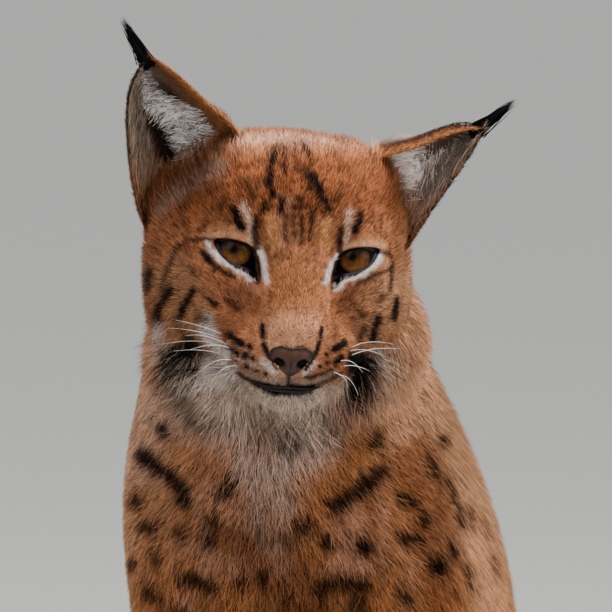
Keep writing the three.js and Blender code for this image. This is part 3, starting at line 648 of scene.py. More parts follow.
# Markings, placed as they lie in the photo: strokes, with widths and points in the photo's pixels
DARK, BLACK, WHITE, PALE, ORANGE = "#140a08", "#050303", "#e2d6d0", "#c08b66", "#d6955f"
DARK_WIDER, CHEST_WIDER = 1.2, 1.12       # the dark strokes are drawn wider than they were measured
FACE_STROKES = [
    # colour and strength, then its strokes: half width, x, y, x, y and so on
    # round the eyes
    (PALE, 0.75, [
        (4.4, 206, 236, 216, 231, 229, 229, 242, 233, 251, 243),
        (4.4, 345, 247, 357, 241.5, 372, 240.5, 383, 245),
    ]),
    (ORANGE, 0.8, [(8.0, 273, 222, 273, 240), (7.5, 326, 223, 328, 242)]),
    ("#d3b8a4", 0.75, [(3.5, 243, 205, 248, 221, 252, 238)]),
    ("#d3b8a4", 0.7, [(3.2, 350, 212, 349.5, 224, 347, 240)]),
    (WHITE, 0.9, [
        (2.7, 258.5, 247, 262, 255, 265, 268, 265.8, 280),
        (2.6, 337, 257, 331.5, 264.5, 329, 273.5, 326, 282),
    ]),
    (WHITE, 0.95, [
        (3.2, 206, 242.5, 212, 251.5), (2.9, 212, 251.5, 223, 261.3, 236, 268.7, 246, 275),
        (2.6, 246, 275, 251.5, 281), (2.9, 381.5, 253, 379.5, 260),
        (2.8, 379.5, 260, 374, 266.7, 365.5, 272.8, 355, 277.3, 343, 281), (2.7, 343, 281, 336.5, 287.5),
    ]),
    (DARK, 1.0, [(1.8, 255.8, 257, 258.4, 268, 258.6, 277), (1.8, 336.3, 262, 334.5, 272, 333.6, 280)]),
    (DARK, 0.95, [(2.5, 201, 252, 209, 261)]),
    (DARK, 0.9, [(2.0, 209, 261, 221, 270, 233, 276.5)]),
    (DARK, 0.75, [(1.7, 393, 268, 379, 274, 366, 280.5, 356, 284)]),
    (DARK, 0.85, [(1.7, 214, 239.5, 200, 239, 187, 239.5, 178, 245)]),
    (DARK, 0.8, [(2.4, 178, 245, 170, 258, 164, 272, 160, 288)]),
    (DARK, 0.85, [(2.0, 377, 250.5, 391, 254, 393.5, 261, 393, 280, 391, 292)]),
    (PALE, 0.7, [(2.6, 387, 258, 385, 266)]),
    # cheeks
    (WHITE, 0.75, [(7.0, 206, 322, 212, 338, 222, 352)]),
    (DARK, 1.0, [
        (3.4, 191, 291, 182, 305, 178, 318), (3.7, 168, 290, 158, 305, 155, 325), (3.4, 147, 270, 145, 290),
        (2.6, 208, 299, 214, 304),
    ]),
    (DARK, 0.7, [(3.0, 196, 318, 206, 322), (2.5, 226, 300, 236, 306), (2.5, 188, 268, 196, 276)]),
    (DARK, 0.6, [(2.5, 176, 330, 186, 338)]),
    (DARK, 1.0, [(3.7, 399, 300, 396, 318), (3.4, 379, 318, 374, 340)]),
    (DARK, 0.75, [(2.7, 360, 310, 364, 316)]),
    (DARK, 0.7, [(2.5, 384, 295, 380, 303)]),
    (DARK, 0.8, [(3.0, 366, 328, 361, 338)]),
    # forehead
    ("#8a7264", 0.7, [(10.0, 158, 205, 184, 182, 216, 163)]),
    ("#b07a5c", 0.5, [(8.0, 284, 200, 285, 236)]),
    (DARK, 1.0, [(3.7, 233, 208, 236, 216, 241, 226), (3.4, 361, 212, 359, 222, 356, 231)]),
    (DARK, 0.9, [(3.0, 256, 216, 255, 232, 257, 247), (2.8, 341, 228, 341.5, 240, 340.5, 251)]),
    (DARK, 1.0, [(3.0, 276, 145, 272, 158, 270, 170), (3.9, 270, 174, 268, 182)]),
    (BLACK, 1.0, [(4.6, 273, 191, 273.5, 193)]),
    (DARK, 0.85, [(1.7, 285, 140, 284, 156, 286, 172), (1.7, 297, 138, 296, 152, 299, 170)]),
    (DARK, 1.0, [(2.2, 304, 142, 309, 152, 313, 162), (3.6, 311, 172, 318, 184, 321, 195)]),
    (DARK, 0.8, [(2.4, 304, 166, 309, 178, 311, 188)]),
    (DARK, 1.0, [(2.7, 282, 198, 280, 210), (2.5, 264, 200, 262, 208), (2.7, 326, 200, 331, 208)]),
    (DARK, 0.8, [(2.4, 298, 196, 302, 206)]),
    (DARK, 0.7, [(2.2, 286, 214, 285, 226, 287, 240), (2.2, 294, 205, 293, 222, 295, 236)]),
    (DARK, 0.75, [(2.2, 302, 216, 303, 228, 301, 243), (2.2, 312, 210, 312, 224, 310, 240)]),
    (DARK, 0.6, [(2.0, 260, 176, 255, 188), (2.0, 247, 180, 252, 196)]),
    (DARK, 0.55, [(2.0, 343, 182, 337, 196), (2.4, 226, 195, 220, 208), (2.4, 206, 222, 198, 230)]),
    # muzzle
    (DARK, 1.0, [
        (2.6, 261.5, 325, 262.5, 337), (2.6, 263.5, 345, 266.5, 351, 270, 358), (2.1, 322.5, 328, 321, 337),
        (2.2, 319.5, 343, 317, 351, 313, 358),
    ]),
    (DARK, 0.8, [(1.5, 272, 350, 283, 347.5, 292, 349, 303, 347.5, 312, 351.5)]),
    ("#8f7668", 0.55, [(7.0, 236, 350, 254, 364)]),
    (WHITE, 0.75, [(3.8, 262, 361, 269, 367, 275, 372), (3.4, 313, 364, 309, 369, 304, 374)]),
    (BLACK, 1.0, [(2.0, 271.5, 356, 273, 363, 277, 369), (2.0, 312.5, 357, 310.5, 364, 306, 369.5)]),
    ("#8a7263", 0.7, [(4.5, 236, 372, 252, 377, 270, 380, 287, 381, 303, 381, 322, 378, 336, 373)]),
    ("#b39c8d", 0.7, [(2.2, 232, 357, 241, 362, 252, 366, 262, 369)]),
    (DARK, 1.0, [
        (3.4, 227, 334, 233, 339, 240, 344), (2.5, 248.5, 346, 249, 346.6), (1.7, 226, 347.5, 226.6, 348),
        (2.7, 231, 351, 236, 354), (3.0, 243.2, 355.6, 243.8, 356.4), (2.4, 251.2, 358.4, 251.8, 359.2),
        (1.6, 234.7, 362.3, 235.3, 362.8), (2.1, 245.2, 366.4, 245.8, 367), (2.0, 255.2, 371, 255.8, 371.4),
        (2.0, 264, 373.8, 264.8, 374.2), (3.6, 334.5, 349.5, 345, 343.5), (2.3, 327.3, 354, 327.9, 354.6),
        (3.0, 342.5, 358, 336, 362.3), (2.3, 327.7, 363, 328.3, 363.6), (1.6, 320.6, 367, 321.4, 367.6),
    ]),
    (DARK, 0.9, [(1.3, 305, 377.5, 313, 378, 323, 374, 333, 370)]),
    (DARK, 0.85, [(2.3, 230, 368, 234, 372)]),
    (DARK, 0.9, [(3.1, 238, 375, 244, 379)]),
    (DARK, 0.95, [(3.3, 247, 381, 257, 385.5)]),
    ("#8d7868", 0.5, [(2.0, 312, 383, 326, 379, 338, 373)]),
    (DARK, 0.8, [(1.6, 311, 387, 322, 384.5, 333, 379.5, 341, 374)]),
    (BLACK, 1.0, [
        (3.2, 257, 385.5, 272, 387.5, 290, 388, 306, 388, 313, 387),
        (5.4, 267, 390, 276, 392, 288, 393, 300, 392, 309, 389.5),
    ]),
    (BLACK, 0.8, [(1.6, 287.5, 375, 287.5, 387)]),
    # ruff and beard
    (WHITE, 0.8, [(6.0, 203, 330, 212, 345, 222, 360)]),
    (WHITE, 0.7, [(5.5, 158, 330, 155, 344, 158, 358)]),
    (WHITE, 0.85, [(8.0, 226, 372, 207, 382, 186, 396), (4.0, 376, 352, 381, 364, 384, 380)]),
    (BLACK, 1.0, [
        (11.5, 188, 350, 180, 362, 170, 378), (10.0, 172, 358, 165, 371, 160, 386),
        (11.0, 358, 360, 360, 382, 359, 404), (8.0, 368, 366, 371, 388, 367, 412),
    ]),
]

# Dark spots of the chest: half width, x, y, x, y and so on
CHEST_STROKES = [
    (8.0, 179, 408, 183, 414), (6.5, 193, 424, 196, 432), (6.5, 159, 430, 163, 436),
    (8.0, 141, 458, 149, 465, 156, 471), (8.0, 165, 478, 173, 484, 180, 491), (7.0, 182, 503, 185, 507),
    (6.0, 219, 500, 226, 492, 229, 486), (6.5, 132, 503, 135, 508), (6.0, 142, 532, 153, 530),
    (7.0, 175, 536, 180, 538), (6.0, 208, 526, 213, 529), (5.5, 204, 546, 210, 548),
    (7.0, 190, 582, 200, 588, 212, 595), (5.5, 180, 584, 183, 586), (5.0, 239, 585, 242, 588),
    (5.0, 264, 580, 265, 586), (5.5, 286, 449, 294, 457), (8.0, 334, 424, 340, 432),
    (7.0, 373, 440, 379, 447), (8.0, 337, 511, 348, 503, 359, 496), (7.0, 364, 492, 376, 483, 387, 474),
    (6.0, 306, 527, 310, 532), (6.0, 327, 544, 331, 549), (7.5, 364, 550, 370, 554),
    (5.5, 319, 596, 330, 590, 342, 586, 355, 588, 366, 591), (6.0, 406, 541, 421, 544),
    (8.0, 438, 567, 443, 572), (5.0, 454, 550, 456, 557), (6.0, 405, 500, 416, 506),
    (6.5, 405, 603, 410, 606), (5.0, 445, 441, 447, 446), (4.5, 289, 602, 290, 608),
    (3.2, 451, 480, 457, 504), (3.2, 433, 458, 438, 482), (3.0, 473, 510, 477, 534),
    (3.0, 486, 520, 490, 540), (3.0, 462, 512, 466, 530), (5.0, 144, 595, 157, 604),
    (5.0, 127, 566, 130, 571), (3.5, 497, 560, 501, 578), (3.5, 470, 570, 474, 590),
    (4.5, 426, 520, 429, 528), (4.5, 150, 560, 154, 566),
]
WRAPPED = 5.0                             # strokes wider than this run on round the side of the head


def line_distance(s, points):
    """Distance of flat points from a broken line"""
    best = np.full(len(s), np.inf)
    for a, b in zip(points[:-1], points[1:]):
        a, d = np.array(a, F), np.array(b, F) - np.array(a, F)
        t = clip01((s - a) @ d / (d @ d))
        best = np.minimum(best, np.linalg.norm(s - a - t[:, None] * d, axis=-1))
    return best


# Large odd numbers that scramble the whole numbers of a cell into even draws
CELL_PRIMES = (73856093, 19349663, 83492791)
SALT_PRIME, MIX_PRIME = 2654435761, 2246822519
DRAW_PRIMES = (12582917, 25165843, 50331653)
WORD, HALF_WORD = 0xFFFFFFFF, 0xFFFF


def hashed(cell, salt):
    """Three even numbers from 0 to 1 for each whole-number cell"""
    c = cell.astype(np.int64)
    h = c[:, 0] * CELL_PRIMES[0] ^ c[:, 1] * CELL_PRIMES[1] ^ c[:, 2] * CELL_PRIMES[2] ^ salt * SALT_PRIME
    out = []
    for k in DRAW_PRIMES:
        g = (h * k) & WORD
        g = ((g ^ (g >> 15)) * MIX_PRIME) & WORD
        out.append((g ^ (g >> 13)) & HALF_WORD)
    return np.stack(out, -1) / (HALF_WORD + 1.0)


def nearest_seed(p, cell_size, salt):
    """The nearest of one scattered point for each cube of a lattice, with its distance and its three numbers"""
    base = np.floor(p / cell_size)
    best = np.full(len(p), np.inf)
    where, numbers = np.zeros((len(p), 3)), np.zeros((len(p), 3))
    for step in np.argwhere(np.ones((3, 3, 3))) - 1:
        h = hashed(base + step, salt)
        at = (base + step + 0.15 + 0.7 * h) * cell_size
        d = ((p - at) ** 2).sum(-1)
        closer = d < best
        best = np.where(closer, d, best)
        where[closer], numbers[closer] = at[closer], h[closer]
    return where, np.sqrt(best), numbers


def speckle(p, cell_size, salt):
    """Smooth noise from 0 to 1: cell numbers blended between the corners of a lattice"""
    base = np.floor(p / cell_size)
    f = p / cell_size - base
    f = f * f * (3 - 2 * f)
    total = np.zeros(len(p))
    for corner in np.argwhere(np.ones((2, 2, 2))):
        weight = np.prod(np.where(corner, f, 1 - f), -1)
        total += weight * hashed(base + corner, salt)[:, 0]
    return total


class Canvas:
    """Points of the coat that are painted, with what the paints need to know: their places on the body (p), in
    the head's frame (q) and on the photo (s), the way out of the skin (n) and the share of each form"""

    def __init__(self, p, n, parts):
        trunk, fore, hind, head, tail = parts
        self.p, self.n, self.q = p, n, to_head(p)
        self.on_head, self.on_tail = share(head, trunk, 24), share(tail, trunk, 14)
        self.on_limb = share(np.minimum(fore, hind), trunk, 20)
        self.off_head = 1 - self.on_head
        self.facing = dot(n, TO_CAMERA)
        self.show = ramp(self.facing, -0.05, 0.25)
        self.s = seen(p) + 2.2 * (np.stack([speckle(p, 5, 3), speckle(p, 5, 4)], -1) - 0.5)
        self.streak = ramp(speckle(self.q * np.array([1, 0.35, 0.35], F), 2.4, 31), 0.2, 0.8)
        self.colour = mix(linear("#c98658"), linear("#a96a46"), self.on_head[:, None])

    def paint(self, mask, code):
        """Lays a colour over the points where the mask is above 0"""
        self.colour[:] = mix(self.colour, linear(code), clip01(mask)[:, None])

    def line(self, *points):
        """Distance on the photo from a broken line"""
        return line_distance(self.s, points)


def paint_trunk(c):
    """Brown back, buff sides and a mottled brown front, with painted highlights where flanks and edges catch
    the light
    """
    p, n, s, show, off_head = c.p, c.n, c.s, c.show, c.off_head
    back = ramp(n[:, 1] * 0.85 + n[:, 2] * 0.5, 0.1, 0.9) * off_head
    c.paint(0.6 * back, "#96592f")
    # sides paler: partly the coat's own buff, partly painted light
    c.paint(0.7 * ramp(np.abs(n[:, 0]), 0.5, 0.95) * ramp(p[:, 2], 60, 300) * off_head, "#d6945f")
    front = ramp(-n[:, 1], 0.1, 0.8) * (1 - back) * off_head
    # painted highlight on the edges seen side on from the camera, high on the body
    aside = ramp(np.abs(dot(n, TO_RIGHT)), 0.4, 0.85)
    c.paint(0.8 * aside * ramp(p[:, 2], 500, 560) * off_head * (1 - back), "#eab48c")
    c.paint(0.6 * front * ramp(p[:, 2], 380, 520), "#935830")
    patchy = ramp(speckle(p, 22, 8), 0.35, 0.7) * ramp(speckle(p * np.array([1, 1, 0.3]), 6, 18), 0.2, 0.7)
    c.paint(0.5 * front * patchy * ramp(p[:, 2], 380, 520), "#d0a088")
    c.paint(0.5 * hump(c.line((262, 560), (300, 610)), 38) * front, "#5e341c")
    # painted shade along the edge of the shoulder
    c.paint(0.75 * hump(c.line((420, 462), (434, 510), (446, 605)), 25) * show * off_head, "#96542c")
    # painted highlights along both edges of the neck, over fur that is partly paler there
    lit = np.minimum(c.line((414, 290), (424, 350), (438, 405)), c.line((398, 412), (402, 432)))
    c.paint(0.8 * hump(lit, 17) * show, "#f4b48c")
    c.paint(0.6 * hump(c.line((146, 395), (138, 470)), 17) * show, "#e8b8a0")
    # painted light on the far flank
    lean = 0.1 * (s[:, 1] - 500)
    painted_flank_light = ramp(s[:, 0], 452 + lean, 476 + lean) * ramp(s[:, 1], 480, 530)
    c.paint(0.9 * painted_flank_light * show * off_head, "#ffbb90")


def paint_below(c):
    """Pale belly, inner sides and toes, scattered spots, smaller ones on the legs, and a black tail tip"""
    p, n = c.p, c.n
    belly = ramp(-n[:, 1] - 0.4 * n[:, 2], 0.3, 0.9) * (1 - ramp(p[:, 2], 380, 470))
    belly = belly * ramp(78 - np.abs(p[:, 0]), 0, 30) * ramp(p[:, 1], -60, -20)
    c.paint(belly, "#d3bda6")
    inner_leg = ramp(-n[:, 0] * np.sign(p[:, 0]), 0.2, 0.8) * (1 - ramp(p[:, 2], 330, 420))
    c.paint(0.7 * inner_leg, "#c8a789")
    legs = c.on_limb * (1 - ramp(p[:, 2], 250, 400))
    c.paint(0.6 * legs * (1 - inner_leg), "#b87e4f")
    c.paint(0.55 * legs * (1 - ramp(p[:, 2], 20, 90)), "#c39a74")
    _, gap, numbers = nearest_seed(p * np.array([1, 1, 0.8]), 36, 11)
    _, small_gap, small_numbers = nearest_seed(p * np.array([1, 1, 0.8]), 21, 12)
    hidden = 1 - ramp(c.facing, -0.1, 0.2) * ramp(p[:, 2], 525, 545)
    spots = hump(gap, 6.5 + 3.5 * numbers[:, 1]) * (numbers[:, 0] > 0.25) * ramp(p[:, 2], 20, 60)
    spots = spots * (1 - 0.8 * belly) * (1 - c.on_head) * hidden * (1 - legs)
    dots = hump(small_gap, 4.5 + 2 * small_numbers[:, 1]) * (small_numbers[:, 0] > 0.3)
    dots = dots * legs * ramp(p[:, 2], 8, 40) * (1 - 0.5 * inner_leg)
    c.paint(0.85 * np.maximum(spots, dots), "#32201a")
    c.paint(c.on_tail * ramp(TAIL.nearest(p), 2.25, 2.5), BLACK)


def paint_chest(c):
    """Grey white bib in strands, with painted shade below it under the ruff's fringe and beside it under the
    chin
    """
    s, show = c.s, c.show
    strands = ramp(speckle(c.p * np.array([1, 1, 0.2]), 4.5, 5), 0.15, 0.75)
    bib = c.line((205, 402), (262, 420), (270, 470), (270, 545))
    wide = np.interp(s[:, 1], [380, 420, 470, 520, 550], [42, 54, 42, 26, 14])
    c.paint(show * hump(bib, wide) * (0.3 + 0.6 * strands) * mix(1.0, 0.5, ramp(s[:, 1], 470, 540)), "#c4afa3")
    # painted shade in a band under the fringe where the ruff ends
    c.paint(0.5 * show * (1 - c.on_head) * hump(c.line((205, 536), (262, 545), (305, 540)), 7), "#5a3826")
    # painted shadow under the chin
    c.paint(0.6 * show * (1 - c.on_head) * hump(c.line((262, 428), (285, 436)), 24), "#5c4436")
    right_bib = c.line((300, 412), (322, 424), (318, 450))
    c.paint(show * hump(right_bib, 22) * (0.4 + 0.6 * strands), "#cdbbae")


def paint_head(c):
    """Forehead, fur streaked and blotched with dark flecks, cheeks, bridge of the nose, chin and jaw"""
    q, s, on_head, show = c.q, c.s, c.on_head, c.show
    # painted highlight: the top edge of the crown drawn pale where the light falls on it
    top = on_head * (1 - ramp(s[:, 1], 130, 152)) * ramp(q[:, 2], 20, 40) * (1 - ramp(q[:, 1], 20, 50))
    c.paint(0.85 * top, "#eab69c")
    forehead = 0.8 * on_head * ramp(s[:, 1], 138, 165) * (1 - ramp(s[:, 1], 200, 240))
    c.paint(forehead * ramp(q[:, 2], 5, 20), "#7c4120")
    c.paint(0.6 * on_head * ramp(q[:, 1], 35, 60) * (1 - top), "#9c6542")
    blotch = ramp(speckle(q, 7, 33), 0.25, 0.75)
    c.colour *= mix(1, 0.55 + 0.6 * c.streak + 0.3 * blotch, 0.9 * on_head)[:, None]
    _, gap, numbers = nearest_seed(q * np.array([1, 0.6, 0.6], F), 3.4, 21)
    fleck = hump(gap, 0.55 + 0.55 * numbers[:, 1]) * (numbers[:, 0] > 0.3)
    off_muzzle = ramp(np.linalg.norm(q - np.array([0, -45, -30], F), axis=-1), 22, 40)
    c.paint(0.85 * fleck * on_head * ramp(50 - q[:, 1], 0, 20) * off_muzzle, DARK)
    cheeks = hump(np.minimum(c.line((170, 280), (190, 330)), c.line((392, 290), (380, 330))), 26)
    c.paint(0.55 * (on_head * cheeks * show), "#a8805f")
    under_eyes = hump(np.minimum(c.line((205, 285), (245, 300)), c.line((345, 300), (375, 290))), 12)
    c.paint(0.5 * (on_head * show * under_eyes), "#70452c")
    nose_top = on_head * show * hump(c.line((293, 285), (291, 345)), 30)
    c.paint(0.6 * nose_top * (1 - ramp(s[:, 1], 300, 330)), "#a9683f")
    c.paint(0.7 * nose_top * ramp(s[:, 1], 295, 335), "#e2a680")
    c.paint(0.3 * (on_head * show * hump(c.line((292, 245), (292, 275)), 26)), "#8a5836")
    c.paint(on_head * show * hump(c.line((268, 405), (312, 404)), 13), "#b9a795")
    c.paint(0.8 * (on_head * ramp(-q[:, 2], 52, 66) * (1 - ramp(q[:, 1], 35, 60))), "#c9b8aa")


def paint_strokes(c):
    """The photo's strokes on the face and its dark spots on the chest, with frayed edges, each worked out for
    the points near it only"""
    turned = ramp(c.facing, -0.85, -0.55) * ramp(dot(c.p - EYES, TO_CAMERA), -105, -75)
    in_front = c.show * ramp(55 - c.q[:, 1], 0, 12) * c.on_head
    fine_edge = 0.75 + 0.45 * c.streak
    rough_edge = 0.65 + 0.7 * speckle(c.p * np.array([1, 1, 0.5]), 4, 9)
    strokes = [
        (code, strength, width * (DARK_WIDER if code == DARK else 1), places,
         turned if width > WRAPPED else in_front, fine_edge)
        for code, strength, rows in FACE_STROKES for width, *places in rows]
    strokes += [
        (DARK, 1.0, CHEST_WIDER * width, places, c.show * c.off_head, rough_edge)
        for width, *places in CHEST_STROKES]
    for code, strength, width, places, where_seen, edge in strokes:
        points = np.reshape(places, (-1, 2))
        low, high = points.min(0) - 3 * width, points.max(0) + 3 * width
        near = np.flatnonzero((c.s > low).all(1) & (c.s < high).all(1))
        mask = hump(line_distance(c.s[near], points) / edge[near], width) * strength * where_seen[near]
        c.colour[near] = mix(c.colour[near], linear(code), mask[:, None])


def markings(p, n, parts):
    """Colour of the coat: rufous above, buff and white below, with the photo's strokes on face and chest and
    scattered spots on the rest, smaller on the legs"""
    c = Canvas(p, n, parts)
    for layer in (paint_trunk, paint_below, paint_chest, paint_head, paint_strokes):
        layer(c)
    return c.colour.astype(F)


def coat_colour(p, n, parts):
    """The coat's colour at many points, worked out in blocks"""
    return many(lambda a: markings(a[:, :3], a[:, 3:6], a[:, 6:].T).T, np.hstack([p, n, parts.T])).T


def lie(p, parts):
    """Way the hair lies: back from the nose over the head, along the spine, down the legs to the toes and along
    the tail; near a border each form counts by exp(-distance / 12)"""
    q = to_head(p)
    on_head = unit(q - np.array([0, -78, -36], F)) + np.array([0, 0, 0.25], F) * ramp(q[:, 2:3], 0, 40)
    on_head = on_head + np.array([0, 0.1, -1.0], F) * (ramp(-q[:, 2:3], 5, 55) * ramp(q[:, 1:2], -30, 20))
    up = np.stack([0.55 * np.sign(q[:, 0]), np.full(len(q), 0.25), np.full(len(q), 0.8)], -1)
    on_head = mix(unit(on_head), up, ear_foot(q)[:, None])
    on_head = on_head @ HEAD_TURN.T
    on_trunk = unit(SPINE.at(SPINE.nearest(p))[1][:, :3])
    on_trunk = on_trunk + np.array([0, 0.05, -0.4], F)
    fan = ramp(-p[:, 1], 30, 100) * ramp(p[:, 2], 520, 600)
    on_trunk = on_trunk + np.array([1, 0, 0], F) * (0.9 * fan * np.clip((p[:, 0] - 8) / 50, -1, 1))[:, None]
    paw = 1 - ramp(p[:, 2:3], 20, 75)
    on_fore = mix(np.array([0, 0.05, -1], F), np.array([0, -1, -0.25], F), paw)
    on_hind = mix(np.array([0, 0.25, -1], F), np.array([0, -1, -0.1], F), paw)
    on_tail = unit(TAIL.at(TAIL.nearest(p))[1][:, :3])
    total = np.zeros_like(p)
    nearest = parts.min(0)
    for distance, way in zip(parts, (on_trunk, on_fore, on_hind, on_head, on_tail)):
        total = total + np.exp(-(distance - nearest) / 12)[:, None] * unit(way)
    return unit(total)


# Unwrap: rooms of trunk, forelegs, hind legs and tail on the map (u and v from, u and v to); the head's disc
ROOMS = [(0.0, 0.5, 0.5, 1.0), (0.0, 0.25, 0.25, 0.5), (0.5, 0.25, 0.75, 0.5), (0.0, 0.0, 1.0, 0.2)]
RIGHT_ROOM = 0.25                                 # how far the right legs' rooms lie beside the left ones'
DISC_MIDDLE, DISC_RADIUS = 0.75, 0.245
HEAD_MIDDLE = np.array([-3, 10, -16], F)


def chart(p, parts):
    """Unwrap of the skin: angle round the middle line of the nearest form, and how far along it, each form in
    its own part of the map; the head as seen from its middle, with the nose in the middle of the disc"""
    nearest = parts.argmin(0)
    a = mirrored(p)
    right = (p[:, 0] < 0).astype(int)
    u, v = np.zeros(len(p)), np.zeros(len(p))
    lines = ((ON_TRUNK, SPINE, p), (ON_FORELEGS, FORELEG, a), (ON_HINDLEGS, SHIN, a), (ON_TAIL, TAIL, p))
    for (i, line, points), (x0, y0, x1, y1) in zip(lines, ROOMS):
        m = nearest == i
        t = line.nearest(points[m])
        value, way, _ = line.at(t)
        d, way = points[m] - value[:, :3], unit(way[:, :3])
        across = unit(np.cross(way, np.array([0, 1, 0.1], F)))
        angle = np.arctan2(dot(d, np.cross(way, across)), dot(d, across)) / (2 * np.pi) + 0.5
        u[m] = mix(x0, x1, angle) + (RIGHT_ROOM * right[m] if i in (ON_FORELEGS, ON_HINDLEGS) else 0)
        v[m] = mix(y0, y1, t / line.spans)
    m = nearest == ON_HEAD
    d = to_head(p[m]) - HEAD_MIDDLE
    polar = np.arccos(np.clip(-unit(d)[:, 1], -1, 1)) / np.pi
    angle = np.arctan2(d[:, 0], d[:, 2])
    u[m] = DISC_MIDDLE + DISC_RADIUS * polar * np.sin(angle)
    v[m] = DISC_MIDDLE + DISC_RADIUS * polar * np.cos(angle)
    return np.stack([u, v], -1)


# Tufts
PATCH = 0.003                                     # size of a tuft's patch on the unwrap
LOWEST = 0.35                                     # the lowest that a tuft may reach above the floor


def cone_faces(bends):
    """Triangles of a closed three-sided cone with so many rings between root and tip"""
    tip = 3 * (bends + 1)
    triangles = [[0, 2, 1]]
    for r in range(bends):
        for i in range(3):
            a, b = 3 * r + i, 3 * r + (i + 1) % 3
            triangles += [[a, b, b + 3], [a, b + 3, a + 3]]
    return np.array(triangles + [[3 * bends + i, 3 * bends + (i + 1) % 3, tip] for i in range(3)])


def tufts(name, root, normal, way, length, width, height, colour, place, rng, curl=0.1, bends=0, root_shade=0.6,
          tip_shade=1.2, target=None, pull=0.0, tip_colour=None):
    """Closed three-sided cones along a curve that leaves the skin steeply and lies down: point = root
    + way * length * s + normal * height * s * (2 - s), with s from 0 to 1. Short ones are straight; target and
    pull draw the tips together."""
    count = len(root)
    tip_colour = colour if tip_colour is None else tip_colour
    way = unit(way - normal * dot(way, normal)[:, None])
    way = unit(way + np.cross(normal, way) * rng.normal(0, curl, count)[:, None])
    side = np.cross(normal, way)
    sway = rng.normal(0, 0.5 * curl, count)
    sunk = np.minimum(0.8, 0.12 * length)
    rings = np.linspace(0, 1, bends + 2)
    points, tones = [], []
    for s in rings:
        rise = way * (length * s)[:, None] + normal * (height * s * (2 - s))[:, None]
        middle = root + rise - normal * (sunk * (1 - s))[:, None] + side * (sway * length * s * s)[:, None]
        if target is not None:
            middle = mix(middle, target + rise, pull * s ** 1.5)
        if s == 1.0:
            points.append(middle[:, None])
        else:
            full = width * (1 - s) ** 0.6
            corners = [
                side * (0.5 * full * np.cos(a))[:, None] + normal * (0.35 * full * np.sin(a))[:, None]
                for a in (np.pi / 2, np.pi * 7 / 6, np.pi * 11 / 6)]
            points.append(np.stack([middle + c for c in corners], 1))
        # painted shade towards the root and painted light towards the tip of each tuft
        tone = mix(colour, tip_colour, s) * mix(root_shade, tip_shade, s ** 0.7)
        tones += [tone] * points[-1].shape[1]
    points = np.concatenate(points, 1)
    faces = (np.arange(count) * points.shape[1])[:, None, None] + cone_faces(bends)[None]
    points = points.reshape(-1, 3)
    points[:, 2] = np.maximum(points[:, 2], LOWEST)
    colours = np.stack(tones, 1).reshape(-1, 3)
    reach = np.append(np.repeat(1 - rings[:-1], 3), 0)
    spin = np.append(np.tile(np.arange(3) * 2 * np.pi / 3, bends + 1), 0)
    patch = 0.5 * PATCH * np.stack([reach * np.cos(spin), reach * np.sin(spin)], -1)
    low, high = place.min(0), place.max(0)
    spread = (place - low) / np.maximum(high - low, 1e-6) * 0.99 + 0.005
    patches = (spread[:, None] + patch[None]).reshape(-1, 2)
    return to_object(name, points, faces.reshape(-1, 3), GUARD_HAIR, colours, patches=patches)


# Skin: head and body from two nets that overlap under the ruff
COLLAR_Y, COLLAR_Z = 0.8, 0.6                     # slant of the plane between the two, in the head's frame
COLLAR = 66.8                                     # where it lies
LAP = 8.0                                         # how far each net goes past it


def head_net(p):
    q = to_head(p)
    return np.maximum(skin_distance(p), COLLAR_Y * q[:, 1] - COLLAR_Z * q[:, 2] - COLLAR - LAP)


def body_net(p):
    q = to_head(p)
    return np.maximum(skin_distance(p), COLLAR - LAP - COLLAR_Y * q[:, 1] + COLLAR_Z * q[:, 2])


FINE, COARSE = ((1.6, 6.0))    # steps of the nets on head and body
HEAD_BOX = ([-75, -275, 600], [125, -60, 805])
BODY_BOX = ([-165, -235, -6], [165, 385, 790])
head_points, head_faces = net(head_net, *HEAD_BOX, FINE)
body_points, body_faces = net(body_net, *BODY_BOX, COARSE)

# Outlines seen from the front of the head, in its frame: the slit between the lids, away from the nose and up
# from the middle of the eyeball; the nose leather; the line between the lips
SLIT = [
    [-11.7, -10.4], [-11.8, -6.8], [-11.2, -1.5], [-9.8, 3.2], [-6, 6.8], [-1.2, 8.5], [4, 9.1], [8, 8.8],
    [12, 7.2], [10, 3.4], [5.6, -0.4], [0, -3.5], [-5, -5.4], [-8.6, -7.2], [-10.3, -9.2],
]
NOSE_X = -1.4                                     # middle line of nose and mouth
NOSE_SIDE = [[6.2, -37.3], [10.6, -39.6], [10.9, -43.0], [7.6, -47.6], [3.6, -51.4]]
NOSE = [[0, -37.9], *NOSE_SIDE, [0, -54], *[[-x, z] for x, z in NOSE_SIDE[::-1]]]
MOUTH = [[-19, -60.8], [-10, -63.0], [0, -62.8], [10, -62.8], [19, -60.5]]
PHILTRUM = [[0, -53], [0, -57.5], [0, -62]]


def closed_line(rows, count):
    """Even points on a smooth closed line through the rows"""
    rows = np.array(rows, float)
    t = np.arange(count) / count * len(rows)
    i = t.astype(int)
    f = (t - i)[:, None]
    a, b, c, d = (rows[(i + k) % len(rows)] for k in (-1, 0, 1, 2))
    line = 0.5 * (2 * b + (c - a) * f + (2 * a - 5 * b + 4 * c - d) * f * f + (3 * b - 3 * c + d - a) * f ** 3)
    run = np.concatenate([[0], np.cumsum(np.linalg.norm(np.diff(np.vstack([line, line[:1]]), axis=0), axis=1))])
    even = np.arange(count) / count * run[-1]
    return np.stack([np.interp(even, run, np.append(line[:, k], line[0, k])) for k in (0, 1)], -1)


